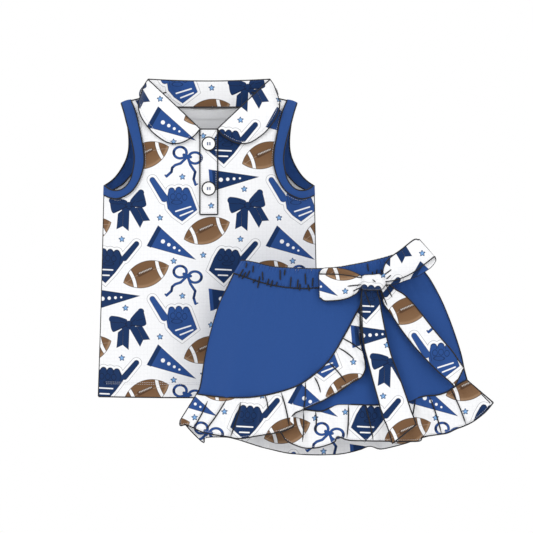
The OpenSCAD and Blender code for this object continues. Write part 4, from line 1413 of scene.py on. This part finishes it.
BY = -125.2                                   # back of the loops
LOOP_L = [(155, -240), (162, -237), (180, -237), (198, -241), (212, -247.5), (212, -265.5), (205, -272), (194, -278), (181, -281), (167, -282), (157, -281), (153.5, -260)]
LOOP_R = [(242.5, -244), (244, -235), (248, -227), (254, -221), (268, -211), (282, -200), (288, -196), (293, -198), (304, -210), (316, -223), (313, -230), (304, -239), (289, -248), (275, -253), (261, -258), (249, -259.5)]
KNOT = [(213.2, -249), (217, -246.5), (229, -246), (237, -245), (241.2, -247), (245.5, -254), (246, -259), (240, -266), (227, -267), (216, -266.5), (213.2, -264)]
TAIL_C = [(213, -271), (211.5, -288), (211.5, -309), (215, -340), (222, -368), (229, -395), (236, -420), (241, -440), (248, -456), (255, -479), (264, -477), (275, -468), (285, -459), (288, -453), (285, -444), (281, -434), (275, -416), (268, -396), (262, -379), (254, -358), (248, -335), (244, -316), (240, -295), (238, -281), (235, -271)]
TAIL_R = [(241, -274), (243.5, -286), (254, -301), (268, -322), (285, -344), (303, -364), (320, -381), (334, -393), (342, -401), (348, -392), (354, -381), (355, -375), (349, -367), (338, -351), (324, -335), (310, -318), (296, -300), (282, -283), (270, -272), (262, -267.5)]


def ribbon_loop(name, top, low, far, near, node, fold, gathers, knot_at):
    """A flattened loop of sash: a back layer, a turn at the far end and a front layer whose top edge sits lower."""
    n = 60
    T, B = resample(cr(top), n=n), resample(cr(low), n=n)      # both run from the knot to the far end
    F = resample(cr(fold), n=n)                               # top edge of the front layer
    rows = 17
    lay = []
    s = np.linspace(0, 1, n)
    puff = np.sin(np.pi * np.clip(s * 0.92 + 0.05, 0, 1)) ** 0.6
    for front_layer in (False, True):
        P = np.zeros((n, rows, 3))
        top_c = F if front_layer else T
        for k in range(rows):
            t = k / (rows - 1)
            xz = top_c * (1 - t) + B * t
            g = np.exp(-s / 0.22) * 1.3 * np.sin(t * math.pi * 5 + (1.0 if front_layer else 0.2))
            belly = math.sin(math.pi * t) ** 0.7
            if front_layer:
                y = BY - 6.8 - 6.0 * puff * belly - g
            else:
                y = BY - 1.6 - 1.0 * puff * belly + g * 0.5
            P[:, k] = np.stack([xz[:, 0], np.broadcast_to(y, (n,)) + 0.8 * np.sin(6 * s + 2 * t), xz[:, 1]], 1)
        lay.append(P)
    back, frontp = lay
    m = 9
    turn = []
    a0, a1 = back[-1], frontp[-1]
    out = (a0[:, [0, 2]].mean(0) - back[0][:, [0, 2]].mean(0))
    out /= np.linalg.norm(out)
    for k in range(1, m):
        a = math.pi * k / m
        c = (a0 + a1) / 2 - (a1 - a0) / 2 * math.cos(a)
        c = c + np.array([out[0], 0, out[1]]) * (np.abs((a1 - a0)[:, 1:2]) / 2 * 0.55 * math.sin(a))
        turn.append(c)
    full = np.concatenate([back, np.stack(turn), frontp[::-1]], 0)
    UV = full[:, :, [0, 2]].copy()
    r0 = len(full) - n // 2
    nrm = np.cross(full[r0 + 1, 8] - full[r0, 8], full[r0, 9] - full[r0, 8])
    ob = grid(name, full, UV, M_PRINT_SK, 1.1, M_PRINT_SK, flip=nrm[1] > 0, sharp=70)
    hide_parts(node)
    e = [full[:, 0] + np.array([0, 0.2, 0]), full[:, -1] + np.array([0, 0, 0])]
    # dark cords along the gathers of the front layer: painted crease shade
    gp = []
    Fp = frontp.reshape(-1, 3)
    for a, b in gathers:
        c = cr([XZ(a), XZ(b)], 1.5)
        y = []
        for q in c:
            dist = (Fp[:, 0] - q[0]) ** 2 + (Fp[:, 2] - q[1]) ** 2
            i = np.argsort(dist)[:3]
            y.append(Fp[i, 1].mean())
        gp.append(np.stack([c[:, 0], np.array(y) - 0.35, c[:, 1]], 1))
    ed = tubes(name + "_edges", e, M_INK, 1.0)
    gt = tubes(name + "_crease_shade_cords", gp, M_INK, 0.85, taper=True)
    far_end = tubes(name + "_turn", [full[n + m // 2 - 1] + np.array([0, 0, 0])], M_INK, 1.0)
    for o in (ob, ed, gt, far_end):
        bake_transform(o)
    return full


LL = ribbon_loop("bow_loop_l",
                 [(214, -249.5), (212, -247.5), (198, -241), (180, -237), (164, -236.8), (158.5, -238.2), (155.6, -241.8)],
                 [(214, -264), (212, -265.5), (205, -272), (194, -278), (181, -281), (167, -282), (160, -281.6), (156.4, -278.2)],
                 None, None, "bow_loop_left",
                 [(214, -250.5), (208, -249.8), (196, -247.5), (180, -245.6), (164, -245.2), (155.4, -245.0)],
                 [((346.5, 286), (360, 284.5)), ((352, 291), (361, 286.5))], (213, -256))
LR = ribbon_loop("bow_loop_r",
                 [(243, -259.5), (249, -259.5), (261, -258), (275, -253), (289, -248), (304, -239), (311.5, -232.5), (315.0, -227.0)],
                 [(241, -247), (242.5, -244), (244, -235), (248, -227), (254, -221), (268, -211), (281, -200.5), (287.5, -196.6), (291.2, -197.8)],
                 None, None, "bow_loop_right",
                 [(243, -254.5), (248, -254.8), (260, -253.0), (275, -247.5), (288, -240.0), (300, -231.0), (308.5, -224.5), (313.0, -220.8)],
                 [((384, 274), (390, 269.5)), ((385, 279), (389.5, 275))], (245, -252))

# knot: a crowned wrap of the sash with creases
kn = resample(np.vstack([cr(KNOT + [KNOT[0]], 1.5)]), n=90)[:-1]
kc = kn.mean(0)
Pk = []
for k in range(15):
    t = k / 14
    a = t * math.pi
    r = math.sin(a) ** 0.55 if 0 < t < 1 else 0.0
    y = -133.8 + math.cos(a) * -8.4 * (-1)
    Pk.append((r, y))
V, F, U = [], [], []
rowsk = [0.04, 0.3, 0.6, 0.82, 0.94, 1.0, 1.0, 0.985, 0.94, 0.86, 0.74, 0.58, 0.4, 0.2, 0.04]
yk = [-125.4, -125.4, -125.4, -125.6, -126.4, -128.0, -131.0, -134.0, -136.6, -138.6, -140.2, -141.4, -142.1, -142.5, -142.6]
nk = len(kn)
for i in range(nk):
    for k in range(15):
        p = kc + (kn[i] - kc) * rowsk[k]
        u = (p[0] - kc[0]) / 16.0
        wv = (p[1] - kc[1]) / 11.0
        cre = -1.0 * math.exp(-((wv - 0.25 * u - 0.1) / 0.13) ** 2) * (k > 7) - 0.8 * math.exp(-((wv + 0.45 + 0.2 * u) / 0.12) ** 2) * (k > 7) - 0.7 * math.exp(-((wv - 0.62) / 0.1) ** 2) * (k > 7)
        V.append((p[0], yk[k] - cre * 0.0 + (-cre) * 1.0, p[1]))
for i in range(nk):
    j = (i + 1) % nk
    for k in range(14):
        F.append((i * 15 + k, j * 15 + k, j * 15 + k + 1, i * 15 + k + 1))
V = np.array(V)
cap0 = len(V); V = np.vstack([V, [[kc[0], -125.4, kc[1]], [kc[0], -142.6, kc[1]]]])
for i in range(nk):
    j = (i + 1) % nk
    F.append((j * 15, i * 15, cap0)); F.append((i * 15 + 14, j * 15 + 14, cap0 + 1))
knot_ob = build("bow_knot_wrap", V, F, V[:, [0, 2]], M_PRINT_SK, sharp=75)
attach(knot_ob, "skirt"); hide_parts("bow_knot")
kp = np.stack([kn[:, 0], np.full(nk, -130.5), kn[:, 1]], 1)
# a short dark cord in a crease of the knot: painted crease shade
dash = np.array([(227.5, -142.5, -252.3), (229.5, -142.8, -254.0), (232.0, -142.6, -256.2)])
ke = tubes("bow_knot_edge", [(kp, True)], M_INK, 1.0)
kd = tubes("bow_knot_crease_shade_cord", [dash], M_INK, 0.85, taper=True)
for o in (ke, kd):
    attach(o, "skirt")


def tail(name, left, right, tip, node, yfun, shade_crease_paths):
    """A hanging end of sash: rows run across it from the knot to the cut end."""
    n = 90
    A, B = resample(cr(left), n=n), resample(cr(right), n=n)
    rows = 15
    P = np.zeros((n, rows, 3)); UV = np.zeros((n, rows, 2))
    s = np.linspace(0, 1, n)
    for k in range(rows):
        t = k / (rows - 1)
        xz = A * (1 - t) + B * t
        fold = np.exp(-s / 0.10) * 1.5 * np.sin(t * math.pi * 4 + 0.6) + 1.5 * (0.3 + 0.7 * s) * np.sin(math.pi * (t * 1.7 + 0.35 * np.sin(3 * s)) + 0.4) + 1.1 * ss(s, 0.2, 1.0) * np.sin(7.5 * s + 1.0)
        y = yfun(xz[:, 0], xz[:, 1]) - 1.6 - fold
        P[:, k] = np.stack([xz[:, 0], y, xz[:, 1]], 1)
        UV[:, k] = xz
    ob = grid(name, P, UV, M_PRINT_SK, 1.0, M_WHITE, flip=False)
    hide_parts(node)
    rim = np.vstack([P[:, 0], P[-1, 1:], P[::-1, -1][1:], P[0, ::-1][1:-1]])
    ed = tubes(name + "_edges", [(rim, True)], M_INK, 1.0)
    pts = P.reshape(-1, 3)
    # dark cords along the creases of the tail: painted crease shade
    tp = []
    for a in shade_crease_paths:
        c = cr([XZ(q) for q in a], 2.0)
        y = []
        for q in c:
            dist = (pts[:, 0] - q[0]) ** 2 + (pts[:, 2] - q[1]) ** 2
            i = np.argsort(dist)[:3]
            y.append(pts[i, 1].mean())
        tp.append(np.stack([c[:, 0], np.array(y) - 0.3, c[:, 1]], 1))
    obs = [ob, ed]
    if tp:
        obs.append(tubes(name + "_crease_shade_cords", tp, M_INK, 0.8, taper=True))
    for o in obs:
        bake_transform(o)
    return P


tail("bow_tail_c", [(214.5, -262), (213, -271), (211.5, -288), (211.5, -309), (215, -340), (222, -368), (229, -395), (236, -420), (241, -440), (248, -456), (255, -479)],
     [(236, -262), (235, -271), (238, -281), (240, -295), (244, -316), (248, -335), (254, -358), (262, -379), (268, -396), (275, -416), (281, -434), (285, -444), (288, -453)],
     None, "bow_tail_center", lambda x, z: -128.0 - (-271 - z) * math.sin(math.radians(5)) - 0.3,
     [[(363.5, 290), (369.5, 306)], [(360.5, 292), (361.5, 330), (364, 350)]])
tail("bow_tail_r", [(236, -262), (241, -274), (243.5, -286), (254, -301), (268, -322), (285, -344), (303, -364), (320, -381), (334, -393), (342, -401)],
     [(252, -260), (262, -267.5), (270, -272), (282, -283), (296, -300), (310, -318), (324, -335), (338, -351), (349, -367), (355, -375)],
     None, "bow_tail_right", lambda x, z: np.full(np.shape(x), -122.3) - 1.6 * ss(-np.asarray(z, float), 262, 300) * 0,
     [[(384.5, 284), (391, 297)], [(379.5, 289), (386, 305)]])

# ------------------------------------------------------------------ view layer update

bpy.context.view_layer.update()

# ------------------------------------------------------------------ floor, world, lights and camera

sc = bpy.context.scene
R, n = 4.6, 96
me = bpy.data.meshes.new("floor")
me.from_pydata([(0.08 + R * math.cos(2 * math.pi * i / n), -0.05 + R * math.sin(2 * math.pi * i / n), -1.05) for i in range(n)], [], [tuple(range(n))])
floor = bpy.data.objects.new("floor", me)
sc.collection.objects.link(floor)
fm = bpy.data.materials.new("pale_floor")
fm.use_nodes = True
nb = fm.node_tree.nodes["Principled BSDF"]
nb.inputs["Base Color"].default_value = (0.86, 0.86, 0.86, 1)
nb.inputs["Roughness"].default_value = 0.8
me.materials.append(fm)

w = bpy.data.worlds.new("world")
sc.world = w
w.use_nodes = True
wt_ = w.node_tree
wt_.nodes.clear()
lp = wt_.nodes.new("ShaderNodeLightPath")
b1 = wt_.nodes.new("ShaderNodeBackground"); b1.inputs[0].default_value = (1, 1, 1, 1); b1.inputs[1].default_value = 0.92
b2 = wt_.nodes.new("ShaderNodeBackground"); b2.inputs[0].default_value = (1, 1, 1, 1); b2.inputs[1].default_value = 1.0
mx = wt_.nodes.new("ShaderNodeMixShader")
wo = wt_.nodes.new("ShaderNodeOutputWorld")
wt_.links.new(lp.outputs["Is Camera Ray"], mx.inputs[0])
wt_.links.new(b1.outputs[0], mx.inputs[1])
wt_.links.new(b2.outputs[0], mx.inputs[2])
wt_.links.new(mx.outputs[0], wo.inputs[0])


def area(name, loc, at, size, power):
    l = bpy.data.lights.new(name, "AREA")
    l.shape = "RECTANGLE"; l.size, l.size_y = size
    l.energy = power
    o = bpy.data.objects.new(name, l)
    sc.collection.objects.link(o)
    o.location = loc
    o.rotation_mode = "QUATERNION"
    o.rotation_quaternion = (Vector(at) - Vector(loc)).to_track_quat("-Z", "Y")
    return o


area("key", (-1.5, -2.3, 1.5), (0.08, -0.05, -0.22), (1.0, 1.0), 21)
area("fill", (1.6, -2.6, 0.3), (0.08, -0.05, -0.22), (1.8, 1.8), 15)
area("rim", (0.4, 2.4, 1.4), (0.08, -0.05, -0.22), (1.4, 1.4), 22)

cam = bpy.data.objects.new("camera", bpy.data.cameras.new("camera"))
sc.collection.objects.link(cam)
sc.camera = cam
cam.data.type = "PERSP"
cam.data.lens = 320
cam.data.sensor_width = 36
D = 0.7462 * 320 / 36
cam.location = (0.0811, -0.06 - D, -0.2345)
cam.rotation_euler = (math.pi / 2, 0, 0)
cam.data.clip_start, cam.data.clip_end = 0.1, 60
sc.view_settings.view_transform = "Standard"
